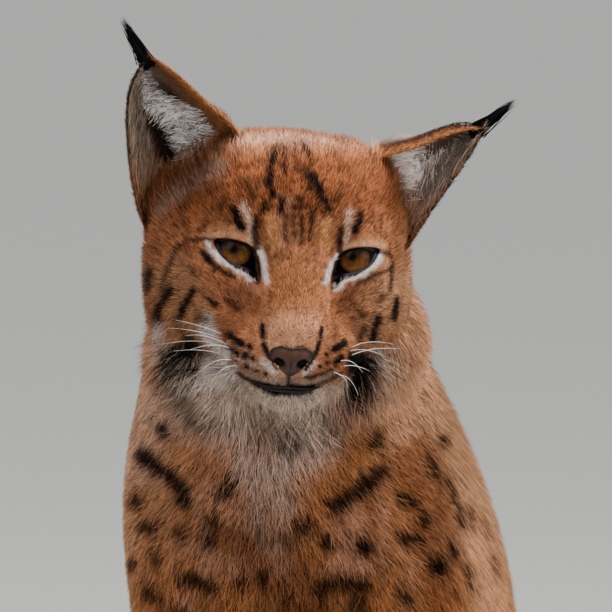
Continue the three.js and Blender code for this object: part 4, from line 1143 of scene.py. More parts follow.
def outline_distance(flat, line):
    """Distance of flat points from a closed outline, negative where a ray to the side crosses it an odd number
    of times"""
    crossings = np.zeros(len(flat), int)
    for a, b in zip(line, np.roll(line, -1, 0)):
        spans = (a[1] > flat[:, 1]) != (b[1] > flat[:, 1])
        crossings += spans & (flat[:, 0] < a[0] + (flat[:, 1] - a[1]) * (b[0] - a[0]) / (b[1] - a[1] + 1e-12))
    near = line_distance(flat, np.vstack([line, line[:1]]))
    return np.where(crossings % 2 == 1, -near, near)


LIDS_END, LEATHER_ENDS = 8.0, -30.0               # how far back on the head the slits and the leather count
FAR = 99.0


def openings(p):
    """Distances in front view from the slits between the lids, and from the nose leather"""
    q = to_head(p)
    flat = q[:, (0, 2)]
    slits = [
        outline_distance(flat, closed_line(SLIT, 64) * [side, 1] + [side * EYE_APART, 0]) for side in (1, -1)]
    leather = outline_distance(flat, closed_line(NOSE, 48) + [NOSE_X, 0])
    lids = np.where(q[:, 1] < LIDS_END, np.min(slits, axis=0), FAR)
    return np.stack([lids, np.where(q[:, 1] < LEATHER_ENDS, leather, FAR)])


FOREMOST, HINDMOST = -90.0, 30.0                  # the front of the head is looked for between these
HALVINGS = 18


def front_of(flat, level):
    """Points of the head straight behind flat ones of its front view, a level below the coat's outline"""
    low, high = np.full(len(flat), FOREMOST), np.full(len(flat), HINDMOST)
    for _ in range(HALVINGS):
        middle = 0.5 * (low + high)
        q = np.stack([flat[:, 0], middle, flat[:, 1]], -1).astype(F)
        outside = head_form(q) + level > 0
        low, high = np.where(outside, middle, low), np.where(outside, high, middle)
    return np.stack([flat[:, 0], middle, flat[:, 1]], -1).astype(F)


# Hair grows down to the lids' rims and the nose; the skin itself ends below the lids and the leather
HAIR_FROM, SKIN_FROM = (0.9, -0.2), (2.6, -0.9)   # distances from the slit and from the leather
lid_gap, nose_gap = many(openings, head_points)
grown = ((lid_gap > HAIR_FROM[0]) & (nose_gap > HAIR_FROM[1]))[head_faces].all(1)
covered = ((lid_gap > SKIN_FROM[0]) & (nose_gap > SKIN_FROM[1]))[head_faces].all(1)

points = np.concatenate([head_points, body_points])
faces = np.concatenate([head_faces[covered], body_faces + len(head_points)])
hairy = np.concatenate([head_faces[grown], body_faces + len(head_points)])
normals = unit(slope(skin_distance, points))
parts = many(forms, points)
skin_colours = coat_colour(points, normals, parts)
skin_length = hair_length(points, parts)
skin_lie = lie(points, parts)
skin_chart = chart(points, parts)

# Ears: two sheets of half ellipses between the inner and outer edge and over the ridge of the back
EARS = {
    "right": dict(
        inner=[[-26, 40, 44], [-36, 33, 64], [-54, 30, 79], [-71, 33, 93], [-88, 40, 102.5]],
        outer=[[-78, 38, -8], [-88.5, 30, 16], [-95.5, 31, 45], [-97.5, 35, 77], [-88, 40, 102.5]],
        back=[[-56, 74, 22], [-65, 72, 44], [-76, 67, 67], [-86, 56, 87], [-89, 42, 102.5]]),
    "left": dict(
        inner=[[32, 44, 38], [43, 36, 52], [62, 38, 59], [83, 48, 67], [105, 60, 69.5]],
        outer=[[48, 40, -22], [63, 35, 0], [77, 38, 24], [94, 48, 50], [105, 60, 69.5]],
        back=[[44, 80, 27], [58, 76, 40], [74, 76, 53], [91, 70, 66], [105, 62, 70]]),
}
EAR_LINES = {
    ear: [Path([row + [1, 1] for row in rows]) for rows in lines.values()] for ear, lines in EARS.items()}
EAR_WALL, EAR_COAT = 5.0, 1.3
EAR_TOP = 0.995                                   # share of an ear's length where its sheets end
TUFT_ROOT = {"right": [-90, 40, 100], "left": [101, 60, 68.5]}
TUFT_LIE = {"right": [-0.55, 0.1, 0.83], "left": [0.75, 0.2, 0.63]}
TUFT_LENGTH = 24.0


def ear_point(ear, u, v):
    """Point of an ear: middle of the two edges + half width * cos + depth * sin round the back sheet, and the
    same with less depth by the wall on the inner sheet, all drawn in by the coat"""
    edge, rim, ridge = (line.at(v * line.spans)[0][:, :3] for line in EAR_LINES[ear])
    middle = 0.5 * (edge + rim)
    angle = 2 * np.pi * u
    depth = ridge - middle
    deep = np.maximum(np.linalg.norm(depth, axis=-1), 1e-3)
    wide = np.maximum(np.linalg.norm(edge - middle, axis=-1), 1e-3)
    hollow = np.maximum(deep - EAR_WALL + EAR_COAT, deep * 0.25) / deep
    outer = np.maximum(deep - EAR_COAT, deep * 0.5) / deep
    bulge = np.where(np.sin(angle) > 0, np.sin(angle) * outer, -np.sin(angle) * hollow)
    narrow = np.maximum(wide - EAR_COAT, wide * 0.6) / wide
    return middle + (edge - middle) * (np.cos(angle) * narrow)[:, None] + depth * bulge[:, None]


def ear_frame(ear, u, v):
    """Point, way out of the sheet and way to the tip, from differences over a small step"""
    step = 0.004
    round_ = ear_point(ear, u + step, v) - ear_point(ear, u - step, v)
    along = ear_point(ear, u, np.minimum(v + step, EAR_TOP)) - ear_point(ear, u, v - step)
    out = np.cross(round_, along) * (1 if ear == "right" else -1)
    return from_head(ear_point(ear, u, v)), unit(out @ HEAD_TURN.T), unit(along @ HEAD_TURN.T)


def ear_colour(ear, u, v):
    """Rufous rim and grey lining over painted shade in the hollow; dark back with a pale patch and a thin black
    edge
    """
    angle = 2 * np.pi * u
    across = np.cos(angle)                        # 1 at the inner edge, -1 at the outer edge
    inside = ramp(-np.sin(angle), -0.05, 0.1)
    colour = np.tile(linear("#5d4030"), (len(u), 1))

    def paint(mask, code):
        colour[:] = mix(colour, linear(code), clip01(mask)[:, None])

    paint(hump(np.abs(v - 0.3), 0.1) * ramp(np.sin(angle), 0.3, 0.8), "#a99182")
    paint(1 - ramp(v, 0.05, 0.2), "#9a6038")
    paint(ramp(v, 0.4, 0.55), "#15100e")
    paint(inside, "#8a7264")
    paint(inside * ramp(across, 0.3, 0.7) * ramp(v, 0.05, 0.2), "#85583b")
    # painted shade deep in the cup
    hollow = hump(np.abs(v - (0.4 if ear == "right" else 0.12)), 0.24 if ear == "right" else 0.1)
    paint(inside * ramp(across, -0.75, -0.45) * (1 - ramp(across, 0.3, 0.6)) * hollow, "#2c1c18")
    paint(inside * (1 - ramp(v, 0.02, 0.14)), "#a8734c")
    paint(inside * ramp(-across, 0.3, 0.7) * (1 - ramp(v, 0.35, 0.6)), "#b07048")
    paint(ramp(across, 0.62, 0.93) * ramp(-np.sin(angle), -0.3, -0.1), "#a86a40")
    paint(0.7 * ramp(-across, 0.93, 0.98) * ramp(-np.sin(angle), 0.0, 0.15), "#95664a")
    start, end = np.where(across > 0, 0.25, 0.0), np.where(across > 0, 0.4, 0.15)
    edge = ramp(np.abs(across), 0.85, 0.95) * ramp(np.sin(angle), start, end)
    paint(edge * ramp(v, 0.15, 0.4), "#120c0a")
    return colour.astype(F)


def ring_grid(rows, count):
    """Every pair of a row's value and an angle's share of a full turn, row by row"""
    return (a.ravel() for a in np.meshgrid(rows, np.arange(count) / count, indexing="ij"))


EAR_ROUND, EAR_ALONG = 56, 44
SKIN_SHADE, EAR_SHADE = F(0.8), F(0.75)           # the skin is drawn darker than its hair: its own tone and painted shade under the coat
v, u = ring_grid(np.linspace(0, EAR_TOP, EAR_ALONG) ** 0.9, EAR_ROUND)
shells, tones, quads, triangles = [points], [skin_colours * SKIN_SHADE], [faces], []
for ear in EARS:
    shell = from_head(ear_point(ear, u, v))
    ends = [shell[:EAR_ROUND].mean(0, keepdims=True), shell[-EAR_ROUND:].mean(0, keepdims=True)]
    shell = np.concatenate([shell, *ends])
    start = sum(len(a) for a in shells)
    grid, caps = outward(shell, capped(EAR_ALONG, EAR_ROUND))
    quads.append(grid + start)
    triangles.append(caps + start)
    shells.append(shell)
    tone = ear_colour(ear, u, v) * EAR_SHADE
    tones.append(np.concatenate([tone, tone[:1], tone[-1:]]))
skin_faces = [np.concatenate(quads), np.concatenate(triangles)]
skin = to_object("skin", np.concatenate(shells), skin_faces, SKIN, np.concatenate(tones))
piece(
    skin, "coat_body", "head", "ear_left", "ear_right", "neck", "torso", "foreleg_left", "foreleg_right",
    "hindleg_left", "hindleg_right", "tail")

# Coat on head and body, on triangles of the skin
split = np.concatenate([hairy[:, (0, 1, 2)], hairy[:, (0, 2, 3)]])
corner = points[split]
area = 0.5 * np.linalg.norm(np.cross(corner[:, 1] - corner[:, 0], corner[:, 2] - corner[:, 0]), axis=-1)
middle = corner.mean(1)
form = parts[:, split[:, 0]].argmin(0)
face_part = (form == ON_HEAD) & (to_head(middle)[:, 1] < 24)
chest_part = (form == ON_TRUNK) & (middle[:, 2] > 500) & (normals[split[:, 0], 1] < 0.45)
chest_part = chest_part | (form == ON_FORELEGS) & (middle[:, 2] > 480)
crossing = np.ptp(skin_chart[split], axis=1).max(1) > 0.1    # triangles cut by an edge of the map
REGIONS = [
    # name, slot, faces, tufts, width, height as a share of length, curl, size of a lock, pull to its tip
    ("face", "coat_head", face_part, 98000, 0.5, 0.32, 0.25, 5, 0.15),
    ("ruff", "coat_head", (form == ON_HEAD) & ~face_part, 40000, 0.75, 0.3, 0.22, 10, 0.35),
    ("chest", "coat_neck", chest_part, 92000, 0.85, 0.3, 0.3, 8, 0.35),
    ("trunk", "coat_body", (form == ON_TRUNK) & ~chest_part, 66000, 1.8, 0.27, 0.2, 18, 0.3),
    ("forelegs", "coat_legs", (form == ON_FORELEGS) & ~chest_part, 21000, 1.5, 0.26, 0.14, 14, 0.2),
    ("hindlegs", "coat_legs", form == ON_HINDLEGS, 19000, 1.5, 0.26, 0.14, 14, 0.2),
    ("tail", "coat_tail", form == ON_TAIL, 6000, 1.7, 0.3, 0.14, 18, 0.25),
]
THIN = 1
MOST = 190000                                     # triangles in one piece
TUFT_FACES = 4
COLOUR_AT = (0.45, 0.85)                          # shares of a hair's length where its colours are taken


def crowding(label):
    """How close the tufts of a region stand: closer on the nose and on the paws, where they are short"""
    if label == "face":
        return mix(1.7, 0.9, ramp(skin_length[split[:, 0]], 3, 9))
    if label in ("forelegs", "hindlegs"):
        return mix(2.2, 1.0, ramp(middle[:, 2], 30, 120))
    return 1.0


def lock_tones(tones, gap_share, rng):
    """Colours of the tufts made lighter and darker one by one: darker away from the middle of a lock, 28 of 100
    dark, 22 of 100 bleached"""
    count = len(gap_share)
    # painted shade between locks: tufts far from the middle of their lock are darker
    level = (rng.normal(1.08, 0.28, count) * (1.1 - 0.3 * gap_share)).clip(0.35, 1.9)
    kind = rng.random(count)
    level = np.where(kind > 0.72, 0.3 * level, level)[:, None]
    bleached = np.where(kind < 0.22, 1.4, 0)[:, None]
    return [
        mix(c * level, linear("#dca67a"), bleached * np.minimum(c.mean(1, keepdims=True), 0.25)) for c in tones]


def grow(number, label, slot, mask, count, width, rise, curl, lock_size, pull):
    """Coat of one region: roots scattered over its triangles, hair cut where it would stand out of the outline,
    and the tips of each lock drawn together"""
    rng = np.random.default_rng(100 + number)
    count = count // THIN
    weight = area * mask * crowding(label)
    chosen = np.minimum(np.searchsorted(np.cumsum(weight) / weight.sum(), rng.random(count)), len(split) - 1)
    r1, r2 = np.sqrt(rng.random(count)), rng.random(count)
    shares = np.stack([1 - r1, r1 * (1 - r2), r1 * r2], -1).astype(F)

    def carried(values):
        """Values of the skin's points, blended to the roots"""
        return np.einsum("ij,ij...->i...", shares, values[split[chosen]])

    root, normal, way = carried(points), unit(carried(normals)), unit(carried(skin_lie))
    near = carried(parts.T).T
    foot = ear_foot(to_head(root))
    length = (carried(skin_length) + 7 * foot) * rng.uniform(0.72, 1.2, count)
    way = unit(way - normal * dot(way, normal)[:, None])
    height = rise * length
    tip = root + way * length[:, None] + normal * height[:, None]
    free = 1.5 + length * np.where(near.argmin(0) == ON_HEAD, 0.15 + 0.5 * foot, 0.1)
    cut = np.clip(1 - 1.1 * (many(lambda p: coat_of(forms(p)), tip) - free) / length, 0.3, 1)
    length, height = length * cut, height * cut
    beside = rng.normal(0, 0.12 if label == "face" else 0.06, (count, 3)) * length[:, None]
    tones = [
        coat_colour(root + beside + way * (k * length)[:, None] + normal * (k * height)[:, None], normal, near)
        for k in COLOUR_AT]
    fine = mix(0.6, 1.0, clip01(length / (8 if label == "face" else 14)))
    seed, gap, _ = nearest_seed(root, lock_size, 40 + number)
    seed = seed - normal * dot(seed - root, normal)[:, None]
    tones = lock_tones(tones, gap / lock_size, rng)
    place = np.where(crossing[chosen][:, None], skin_chart[split[chosen, 0]], carried(skin_chart))
    needed = int(np.ceil(count * TUFT_FACES / MOST))
    for i, some in enumerate(np.array_split(np.argsort(root[:, 0], kind="stable"), needed)):
        wide = (width * fine * rng.uniform(0.8, 1.25, count))[some]
        tuft = tufts(
            f"coat_{label}_{i + 1}" if needed > 1 else f"coat_{label}", root[some], normal[some], way[some],
            0.95 * length[some], wide, height[some], tones[0][some], place[some], np.random.default_rng(7 + i),
            curl, root_shade=0.5, tip_shade=1.35, target=seed[some], pull=pull, tip_colour=tones[1][some])
        piece(tuft, slot)


for number, region in enumerate(REGIONS):
    grow(number, *region)

# Coat on the ears: short hair on both sheets, long pale hair across the cup, black tufts on the tips
INNER_EDGE, OUTER_EDGE = 0.0, 0.5                 # where round an ear its two edges lie


def across_cup(ear, v, start, end):
    """Way from one edge of an ear to the other"""
    ends = [ear_frame(ear, np.full(len(v), u), v)[0] for u in (end, start)]
    return unit(ends[0] - ends[1])


def in_cup(across):
    """Where round the ear's inner sheet a place lies: across is 1 at the inner edge and -1 at the outer one"""
    return (2 * np.pi - np.arccos(across)) / (2 * np.pi)


def short_ear_coat(ear, rng):
    """Short hair on both sheets, longer on the back near the foot"""
    count = 10000 // THIN
    u, v = rng.random(count), 0.97 * (1 - (1 - rng.random(count)) ** 0.62)
    at, out, along = ear_frame(ear, u, v)
    behind = ramp(np.sin(2 * np.pi * u), 0.1, 0.5)
    length = rng.uniform(3.5, 6.5, count) * mix(1, 1.4 * (1 - ramp(v, 0.25, 0.45)) + 0.6, behind)
    tone = ear_colour(ear, u, v) * rng.normal(1, 0.22, (count, 1)).clip(0.5, 1.6)
    return tufts(
        f"coat_ear_{ear}", at, out, along, length, np.full(count, 0.55), 0.3 * length, tone,
        np.stack([u, v], -1), rng, 0.4)


def ear_lining(ear, rng):
    """Long pale hair that reaches across the cup from its inner edge"""
    right = ear == "right"
    count = (1600 if right else 2400) // THIN
    v = rng.uniform(0.16 if right else 0.1, 0.84, count)
    across = rng.uniform(0, 1, count) * 0.5
    across = across + (mix(0.22, -0.2, ramp(v, 0.35, 0.65)) if right else rng.uniform(-0.5, 0.3, count))
    at, out, along = ear_frame(ear, in_cup(across), v)
    way = across_cup(ear, v, INNER_EDGE, OUTER_EDGE) + along * mix(0.9, 0.1, ramp(v, 0.1, 0.35))[:, None]
    way = way + along * (0.5 * ramp(v, 0.6, 0.85))[:, None]
    length = rng.uniform(9, 23, count) * mix(1.0, 0.55, ramp(v, 0.45, 0.85))
    shade = mix(0.7, 1.0, ramp(v, 0.15, 0.25)) * mix(1.0, 0.5, ramp(v, 0.55, 0.8))
    shade = shade * mix(1.0, 0.7, ramp(across, 0.75, 0.95))
    # painted light: the left ear's lining is drawn brighter than the right one's
    level = rng.normal(0.85 if right else 1.5, 0.45, count).clip(0.08, 1.9) * shade
    return tufts(
        f"lining_ear_{ear}", at, out, way, length, np.full(count, 0.6), 0.22 * length,
        linear("#fff6f0") * level[:, None], np.stack([v, across], -1), rng, 0.34, 1, 0.6, 1.45)


def ear_fringe(ear, rng):
    """Hair of middle length along the edges of the cup"""
    count = 1500 // THIN
    v = 0.02 + 0.86 * rng.random(count) ** 1.7
    across = mix(rng.uniform(-0.97, 0.95, count), rng.uniform(-0.97, -0.55, count), ramp(v, 0.1, 0.22))
    at, out, along = ear_frame(ear, in_cup(across), v)
    way = across_cup(ear, v, OUTER_EDGE, INNER_EDGE) * 0.5 + along
    length = rng.uniform(7, 13, count) * mix(1.4, 0.9, ramp(v, 0.1, 0.4))
    tone = mix(linear("#c08c68"), linear("#a3907f"), ramp(v, 0.15, 0.4)[:, None])
    tone = tone * rng.normal(1.1, 0.45, (count, 1)).clip(0.2, 2.0)
    return tufts(
        f"fringe_ear_{ear}", at, out, way, length, np.full(count, 0.6), 0.2 * length, tone,
        np.stack([v, across], -1), rng, 0.25, 1)


def ear_tuft(ear, rng):
    """Black tuft on the tip, whose hairs are drawn together"""
    count = 260
    straight = unit(np.array(TUFT_LIE[ear], F))
    tip = np.array(TUFT_ROOT[ear], F)
    to_back = np.array([0, 1, 0], F)
    sideways = unit(np.cross(straight, to_back))
    spread = sideways * rng.normal(0, 1.7, (count, 1)) + to_back * rng.normal(0, 1.0, (count, 1))
    spread = spread - straight * rng.uniform(1, 8, (count, 1))
    out = unit(np.cross(np.tile(straight, (count, 1)), rng.normal(0, 1, (count, 3))))
    length = TUFT_LENGTH * rng.uniform(0.45, 1.1, count)
    tone = np.tile(linear("#0f0d11"), (count, 1)) * rng.uniform(0.6, 2.0, (count, 1))
    return tufts(
        f"tuft_ear_{ear}", from_head(tip + spread), out @ HEAD_TURN.T,
        np.tile(straight @ HEAD_TURN.T, (count, 1)), length, np.full(count, 1.0), 0.03 * length, tone,
        rng.random((count, 2)), rng, 0.04, 2, 1.0, 0.8, from_head(np.tile(tip, (count, 1))), 0.68)


for number, ear in enumerate(EARS):
    rng = np.random.default_rng(300 + number)
    for hair in (short_ear_coat, ear_lining, ear_fringe, ear_tuft):
        piece(hair(ear, rng), "coat_ears")

# Lids: a band round each slit that touches the eyeball, rises to the rim and sinks into the skin
SIDES = ((1, "left"), (-1, "right"))
LID_ROUND = 120
LID_REACH = [-1.4, -0.2, 0.2, 0.6, 1.1, 1.7, 2.5, 3.6, 5.0, 6.6]    # its rings, away from the slit's edge
RIM_ENDS = 2.5                                    # from here on the lid follows the coat's outline


def ways_out(line):
    """Ways out of a closed outline at its points, evened over their neighbours"""
    ahead = np.roll(line, -1, 0) - np.roll(line, 1, 0)
    away = unit(np.stack([-ahead[:, 1], ahead[:, 0]], -1))
    away = away * np.sign(dot(away, line - line.mean(0)).sum())
    for _ in range(6):
        away = unit(np.roll(away, 1, 0) + away + np.roll(away, -1, 0))
    return away


def lid_ring(line, away, r, side):
    """One ring of a lid, at a distance r from the slit's edge: under the edge it lies on the eyeball"""
    flat = (line + away * r + [0, 0.5] * ramp(line[:, 1:], 2, 5)) * [side, 1]
    bare = np.maximum((EYE_RADIUS + 0.2) ** 2 - (flat ** 2).sum(1), 9.0)
    ball = EYE_DEPTH - np.sqrt(bare)
    flat = flat + [side * EYE_APART, 0]
    top = front_of(flat, 0.5)[:, 1] + 1.3 * ramp(r, 4.2, 6.6)
    if r < 0:
        y = ball + (0.7 if r < -1 else -0.1)
    elif r < RIM_ENDS:
        y = mix(ball - 0.1, np.minimum(top, ball - 0.9), ramp(r, -0.2, 1.4))
    else:
        y = top
    return np.stack([flat[:, 0], y, flat[:, 1]], -1)


def lids(side, label):
    """Both lids of one eye in the colours of the coat, with a black rim and a painted reflection on the wet
    lower edge
    """
    line = closed_line(SLIT, LID_ROUND)
    away = ways_out(line)
    grid = np.concatenate([lid_ring(line, away, r, side) for r in LID_REACH])
    quads = facing_front(grid, sheet_faces(len(LID_REACH), LID_ROUND, True))
    grid = from_head(grid)
    tone = markings(grid, np.tile(TO_CAMERA, (len(grid), 1)), many(forms, grid)) * F(0.85)
    reach = np.repeat(LID_REACH, LID_ROUND)
    x, height = (np.tile(line[:, k], len(LID_REACH)) for k in (0, 1))
    black_to = 0.7 + 0.3 * ramp(-height, 0, 4) + 0.4 * ramp(-x, 6, 11)
    tone = mix(tone, linear("#120d0e"), (1 - ramp(reach, black_to, black_to + 0.7))[:, None])
    # painted reflection: a blue grey line on the wet lower rim
    tone = mix(tone, linear("#4a4a58"), (0.6 * hump(np.abs(reach), 0.35) * ramp(-height, -1, 3))[:, None])
    piece(to_object(f"lids_{label}", grid, quads, LEATHER, tone), "nose_leather")


for side, label in SIDES:
    lids(side, label)

# Eyeballs: a ball with a raised cornea over the iris, looking at the viewer
IRIS_RADIUS, CORNEA_RISE = 9.6, 1.0
BALL_RADIUS = EYE_RADIUS - 0.15                   # a little inside the lids
BALL_RINGS, BALL_ROUND = 46, 64
LOOK_UP = np.radians(7.2)
PUPIL_RIGHT, PUPIL_UP = -1.3, 0.5                 # how far the pupil lies off the middle, as the viewer sees it
BEHIND_EYE = 40                                   # distance from the pupil that stands for the back of the ball
look = unit(TO_CAMERA * np.cos(LOOK_UP) + TO_TOP * np.sin(LOOK_UP))
first = unit(np.cross(look, TO_TOP))
second = np.cross(first, look)
polar, turned_by = ring_grid(np.linspace(0, 1, BALL_RINGS + 2)[1:-1] ** 1.5 * np.pi, BALL_ROUND)
angle = turned_by * 2 * np.pi
around = first * np.cos(angle)[:, None] + second * np.sin(angle)[:, None]
away = EYE_RADIUS * polar
ball = look * np.cos(polar)[:, None] + around * np.sin(polar)[:, None]
ball = ball * (BALL_RADIUS + CORNEA_RISE * (1 - ramp(away, 0.2 * IRIS_RADIUS, 1.25 * IRIS_RADIUS)))[:, None]
ball = np.concatenate([ball, look[None] * (BALL_RADIUS + CORNEA_RISE), -look[None] * BALL_RADIUS])
pupil_shift = TO_RIGHT * PUPIL_RIGHT + TO_TOP * PUPIL_UP
across = around * away[:, None]
away = np.linalg.norm(across - pupil_shift * (1 - ramp(away, 2.5, 8.5))[:, None], axis=-1)
away = np.append(away, [np.linalg.norm(pupil_shift), BEHIND_EYE])
spin = np.append(np.abs(angle - np.pi), [0, 0])
ball_faces = outward(ball, capped(BALL_RINGS, BALL_ROUND))
eye_values = {"away": away, "spin": spin, "lift": ball @ TO_TOP}
for side, label in SIDES:
    socket = from_head(np.array([side * EYE_APART, EYE_DEPTH, 0], F))
    eyeball = to_object(f"eyeball_{label}", ball + socket, ball_faces, EYEBALL, values=eye_values)
    piece(eyeball, "eye", f"eye_{label}")

# Nose leather: a pad whose outline is seen from the front, with two comma-shaped nostrils and a middle furrow
NOSE_ROUND, NOSE_RINGS = 96, 26
NOSE_CORE = np.array([0, -44.5])
NOSTRIL = [6.1, -45.9]
NOSTRIL_HALF = [3.0, 2.3]                         # half sizes along and across its slant
NOSTRIL_DEPTH, FURROW_DEPTH = 4.5, 0.7


def nose_ring(line, r):
    """One ring of the pad, at a share r of the way from its core to its outline: points, how much of each is
    nostril and furrow, and the share; past the outline it sinks into the skin"""
    flat = NOSE_CORE + (line - NOSE_CORE) * r
    x, z = np.abs(flat[:, 0]), flat[:, 1]
    slant_x = (x - NOSTRIL[0]) * 0.86 + (z - NOSTRIL[1]) * 0.5
    slant_z = (z - NOSTRIL[1]) * 0.86 - (x - NOSTRIL[0]) * 0.5
    hole = np.exp(-((slant_x / NOSTRIL_HALF[0]) ** 2 + (slant_z / NOSTRIL_HALF[1]) ** 2) ** 1.6)
    furrow = np.exp(-(x / 0.8) ** 2) * ramp(-z, 41, 47)
    q = front_of(flat + [NOSE_X, 0], 0.1)
    dome, edge, sunk = 0.5 * (1 - ramp(r, 0.85, 1.0)), 0.4 * ramp(r, 0.97, 1.05), 2.0 * ramp(r, 1.05, 1.12)
    q[:, 1] += NOSTRIL_DEPTH * hole + FURROW_DEPTH * furrow - dome + edge + sunk
    return q, hole, furrow, np.full(NOSE_ROUND, r)


nose_line = closed_line(NOSE, NOSE_ROUND)
rings = [nose_ring(nose_line, r) for r in np.append(np.linspace(0.03, 1.0, NOSE_RINGS), [1.05, 1.12])]
q, hole, furrow, out = (np.concatenate(a) for a in zip(*rings))
tone = np.tile(linear("#3d2319"), (len(q), 1))
# painted highlight on the top of the pad
tone = mix(tone, linear("#573629"), 0.6 * ramp(q[:, 2:3], -43, -39))
tone = mix(tone, linear("#150e0d"), clip01(ramp(out, 0.78, 0.98) * ramp(q[:, 2], -46, -40))[:, None])
tone = mix(tone, linear("#2a1813"), (ramp(out, 0.6, 1.0) * ramp(-q[:, 2], 43, 47))[:, None])
# painted shade in the nostrils and the furrow
tone = mix(tone, linear("#080505"), clip01(1.6 * hole + 0.7 * furrow)[:, None])
q, tone = np.concatenate([q, q[:NOSE_ROUND].mean(0, keepdims=True)]), np.concatenate([tone, tone[:1]])
ring = np.arange(NOSE_ROUND)
fan = np.stack([ring, np.roll(ring, -1), np.full(NOSE_ROUND, len(q) - 1)], -1)
pad = [facing_front(q, sheet_faces(len(rings), NOSE_ROUND, True)), facing_front(q, fan)]
piece(to_object("nose_pad", from_head(q), pad, LEATHER, tone), "nose_leather", "nose")

# Lips: a dark band along the mouth with a groove in it, and the furrow from the nose down to it
LIP_STEPS = 120
LIP_ACROSS = np.array([-1.4, -1, -0.7, -0.4, -0.18, 0, 0.18, 0.4, 0.7, 1, 1.4])    # half widths; the ends sink
for label, rows, half_width, groove in (("lips", MOUTH, 1.5, 0.9), ("lip_furrow", PHILTRUM, 0.9, 0.8)):
    path = Path(np.concatenate([np.array(rows) + [NOSE_X, 0], np.zeros((len(rows), 3))], 1))
    t = np.linspace(0, path.spans, LIP_STEPS)
    value, way, _ = path.at(t)
    flat, way = value[:, :2], unit(way[:, :2])
    beside = np.stack([-way[:, 1], way[:, 0]], -1)
    taper = 0.3 + 0.7 * ramp(np.minimum(t, path.spans - t), -0.2, 2.0)
    aside = (LIP_ACROSS[None] * half_width * taper[:, None])[..., None]
    q = front_of((flat[:, None] + beside[:, None] * aside).reshape(-1, 2), 0.1)
    profile = groove * np.exp(-(LIP_ACROSS / 0.3) ** 2) + 1.2 * ramp(np.abs(LIP_ACROSS), 0.9, 1.4)
    q[:, 1] += np.tile(profile, LIP_STEPS)
    quads = facing_front(q, sheet_faces(LIP_STEPS, len(LIP_ACROSS)))
    tone = np.tile(linear("#171011"), (len(q), 1))
    piece(to_object(label, from_head(q), quads, LEATHER, tone), "nose_leather")

# Whiskers: tapered tubes on a bent line from the whisker pads; start, middle and end in the photo's pixels
WHISKERS = [
    ((222, 334), (200, 326), (176, 320)), ((219, 338), (195, 331), (168, 328)),
    ((213, 343), (190, 341), (163, 344)), ((221, 354), (200, 350), (174, 351)),
    ((229, 348), (212, 345), (190, 350)), ((232, 360), (214, 362), (196, 376)),
    ((236, 366), (222, 370), (210, 386)), ((226, 344), (205, 336), (186, 336)),
    ((352, 347), (370, 342), (392, 344)), ((352, 355), (374, 349), (400, 349)),
    ((344, 366), (356, 366), (369, 371)), ((339, 375), (350, 380), (358, 395)),
    ((350, 351), (366, 350), (384, 356)), ((341, 361), (352, 362), (362, 372)),
    ((334, 372), (344, 378), (348, 388)),
]
WHISKER_SIDES, WHISKER_STEPS = 6, 16
WHISKER_RADIUS = 0.22
FORWARD = (0.18, 0.1)                             # how far middle and end stand forward, in shares of its width


def on_face(pixel):
    """Point of the coat's outline that a pixel of the photo shows: the first one along the line of sight"""
    viewer = TARGET + TO_CAMERA * CAMERA_DISTANCE
    aside, up = (pixel[0] - half) * PIXEL, (half - pixel[1]) * PIXEL
    aim = unit(TO_RIGHT * aside + TO_TOP * up - TO_CAMERA * CAMERA_DISTANCE)
    line = viewer + aim * np.linspace(CAMERA_DISTANCE - 120, CAMERA_DISTANCE + 60, 360)[:, None].astype(F)
    return line[np.argmax(head_form(to_head(line)) < 0)]


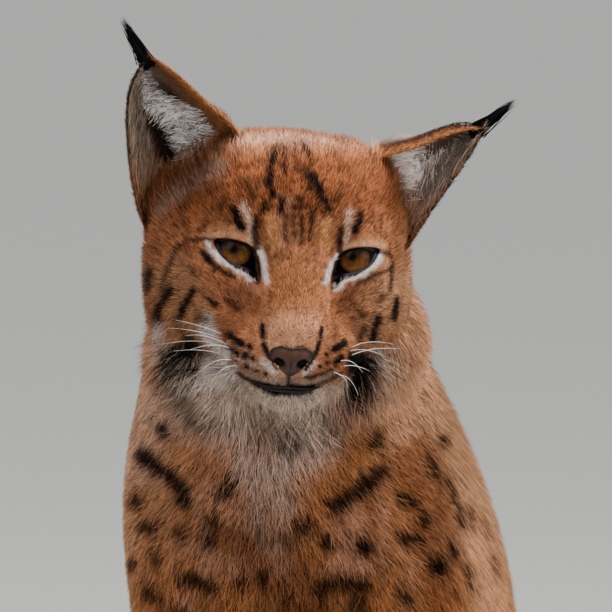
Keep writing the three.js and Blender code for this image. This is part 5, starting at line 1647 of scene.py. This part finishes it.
def whisker(start_at, through, end_at):
    """Points of a tube along the curve (1 - s)^2 a + 2 s (1 - s) control + s^2 c, thinner to its end"""
    a = on_face(start_at)
    span = np.abs(end_at[0] - start_at[0]) * PIXEL
    b, c = (
        a + TO_RIGHT * (at[0] - start_at[0]) * PIXEL - TO_TOP * (at[1] - start_at[1]) * PIXEL
        + TO_CAMERA * k * span for at, k in zip((through, end_at), FORWARD))
    s = np.linspace(0, 1, WHISKER_STEPS)[:, None]
    control = 2 * b - 0.5 * (a + c)
    line = (1 - s) ** 2 * a + 2 * s * (1 - s) * control + s * s * c
    way = unit(2 * (1 - s) * (control - a) + 2 * s * (c - control))
    first = unit(np.cross(way, TO_TOP))
    second = np.cross(first, way)
    angle = np.arange(WHISKER_SIDES) / WHISKER_SIDES * 2 * np.pi
    radius = WHISKER_RADIUS * (1 - 0.8 * s)
    around = first[:, None] * np.cos(angle)[None, :, None] + second[:, None] * np.sin(angle)[None, :, None]
    tube = line[:, None] + radius[:, None] * around
    return np.concatenate([tube.reshape(-1, 3), line[:1], line[-1:] + way[-1:] * 0.5])


tubes = [whisker(*places) for places in WHISKERS]
groups = []
for number, tube in enumerate(tubes):
    groups += [g + number * len(tube) for g in outward(tube, capped(WHISKER_STEPS, WHISKER_SIDES))]
piece(to_object("whiskers", np.concatenate(tubes), groups, WHISKER), "coat_head")

# Floor, lights and camera
FLOOR_HALF = 16000.0
ends = np.array([[-1, -1, 0], [1, -1, 0], [1, 1, 0], [-1, 1, 0]]) * FLOOR_HALF
floor = to_object("floor", ends + ORIGIN, np.array([[0, 1, 2, 3]]), BOARD)


def lamp(name, energy, place, aim, size):
    """A square area light at a place that shines at a point, both in metres"""
    data = bpy.data.lights.new(name, "AREA")
    data.energy, data.size = energy, size
    item = bpy.data.objects.new(name, data)
    item.location = place
    way = np.array(aim) - np.array(place)
    item.rotation_euler = (np.arctan2(np.hypot(way[0], way[1]), -way[2]), 0, np.arctan2(-way[0], way[1]))
    bpy.context.scene.collection.objects.link(item)


face_place = (EYES - ORIGIN) * MM
lamp("front_light", 44, (-0.9, -2.2, 2.6), face_place, 1.8)
lamp("side_light", 36, (2.4, -0.6, 1.9), face_place, 1.6)
lamp("top_light", 150, (0.5, 0.7, 3.0), face_place, 2.0)
world = bpy.data.worlds.new("soft_room")
world.use_nodes = True
world.node_tree.nodes["Background"].inputs["Color"].default_value = (0.93, 0.96, 1.0, 1)
world.node_tree.nodes["Background"].inputs["Strength"].default_value = 0.8
bpy.context.scene.world = world

SENSOR = 36.0
camera_data = bpy.data.cameras.new("camera")
camera_data.sensor_fit = "HORIZONTAL"
camera_data.sensor_width = SENSOR
camera_data.lens = SENSOR * CAMERA_DISTANCE / (PHOTO * PIXEL)
camera_data.clip_end = 60.0
camera = bpy.data.objects.new("camera", camera_data)
camera.location = (TARGET + TO_CAMERA * CAMERA_DISTANCE - ORIGIN) * MM
camera.rotation_euler = (np.pi / 2 - elevation, 0, azimuth)
bpy.context.scene.collection.objects.link(camera)
bpy.context.scene.camera = camera

bpy.context.view_layer.update()
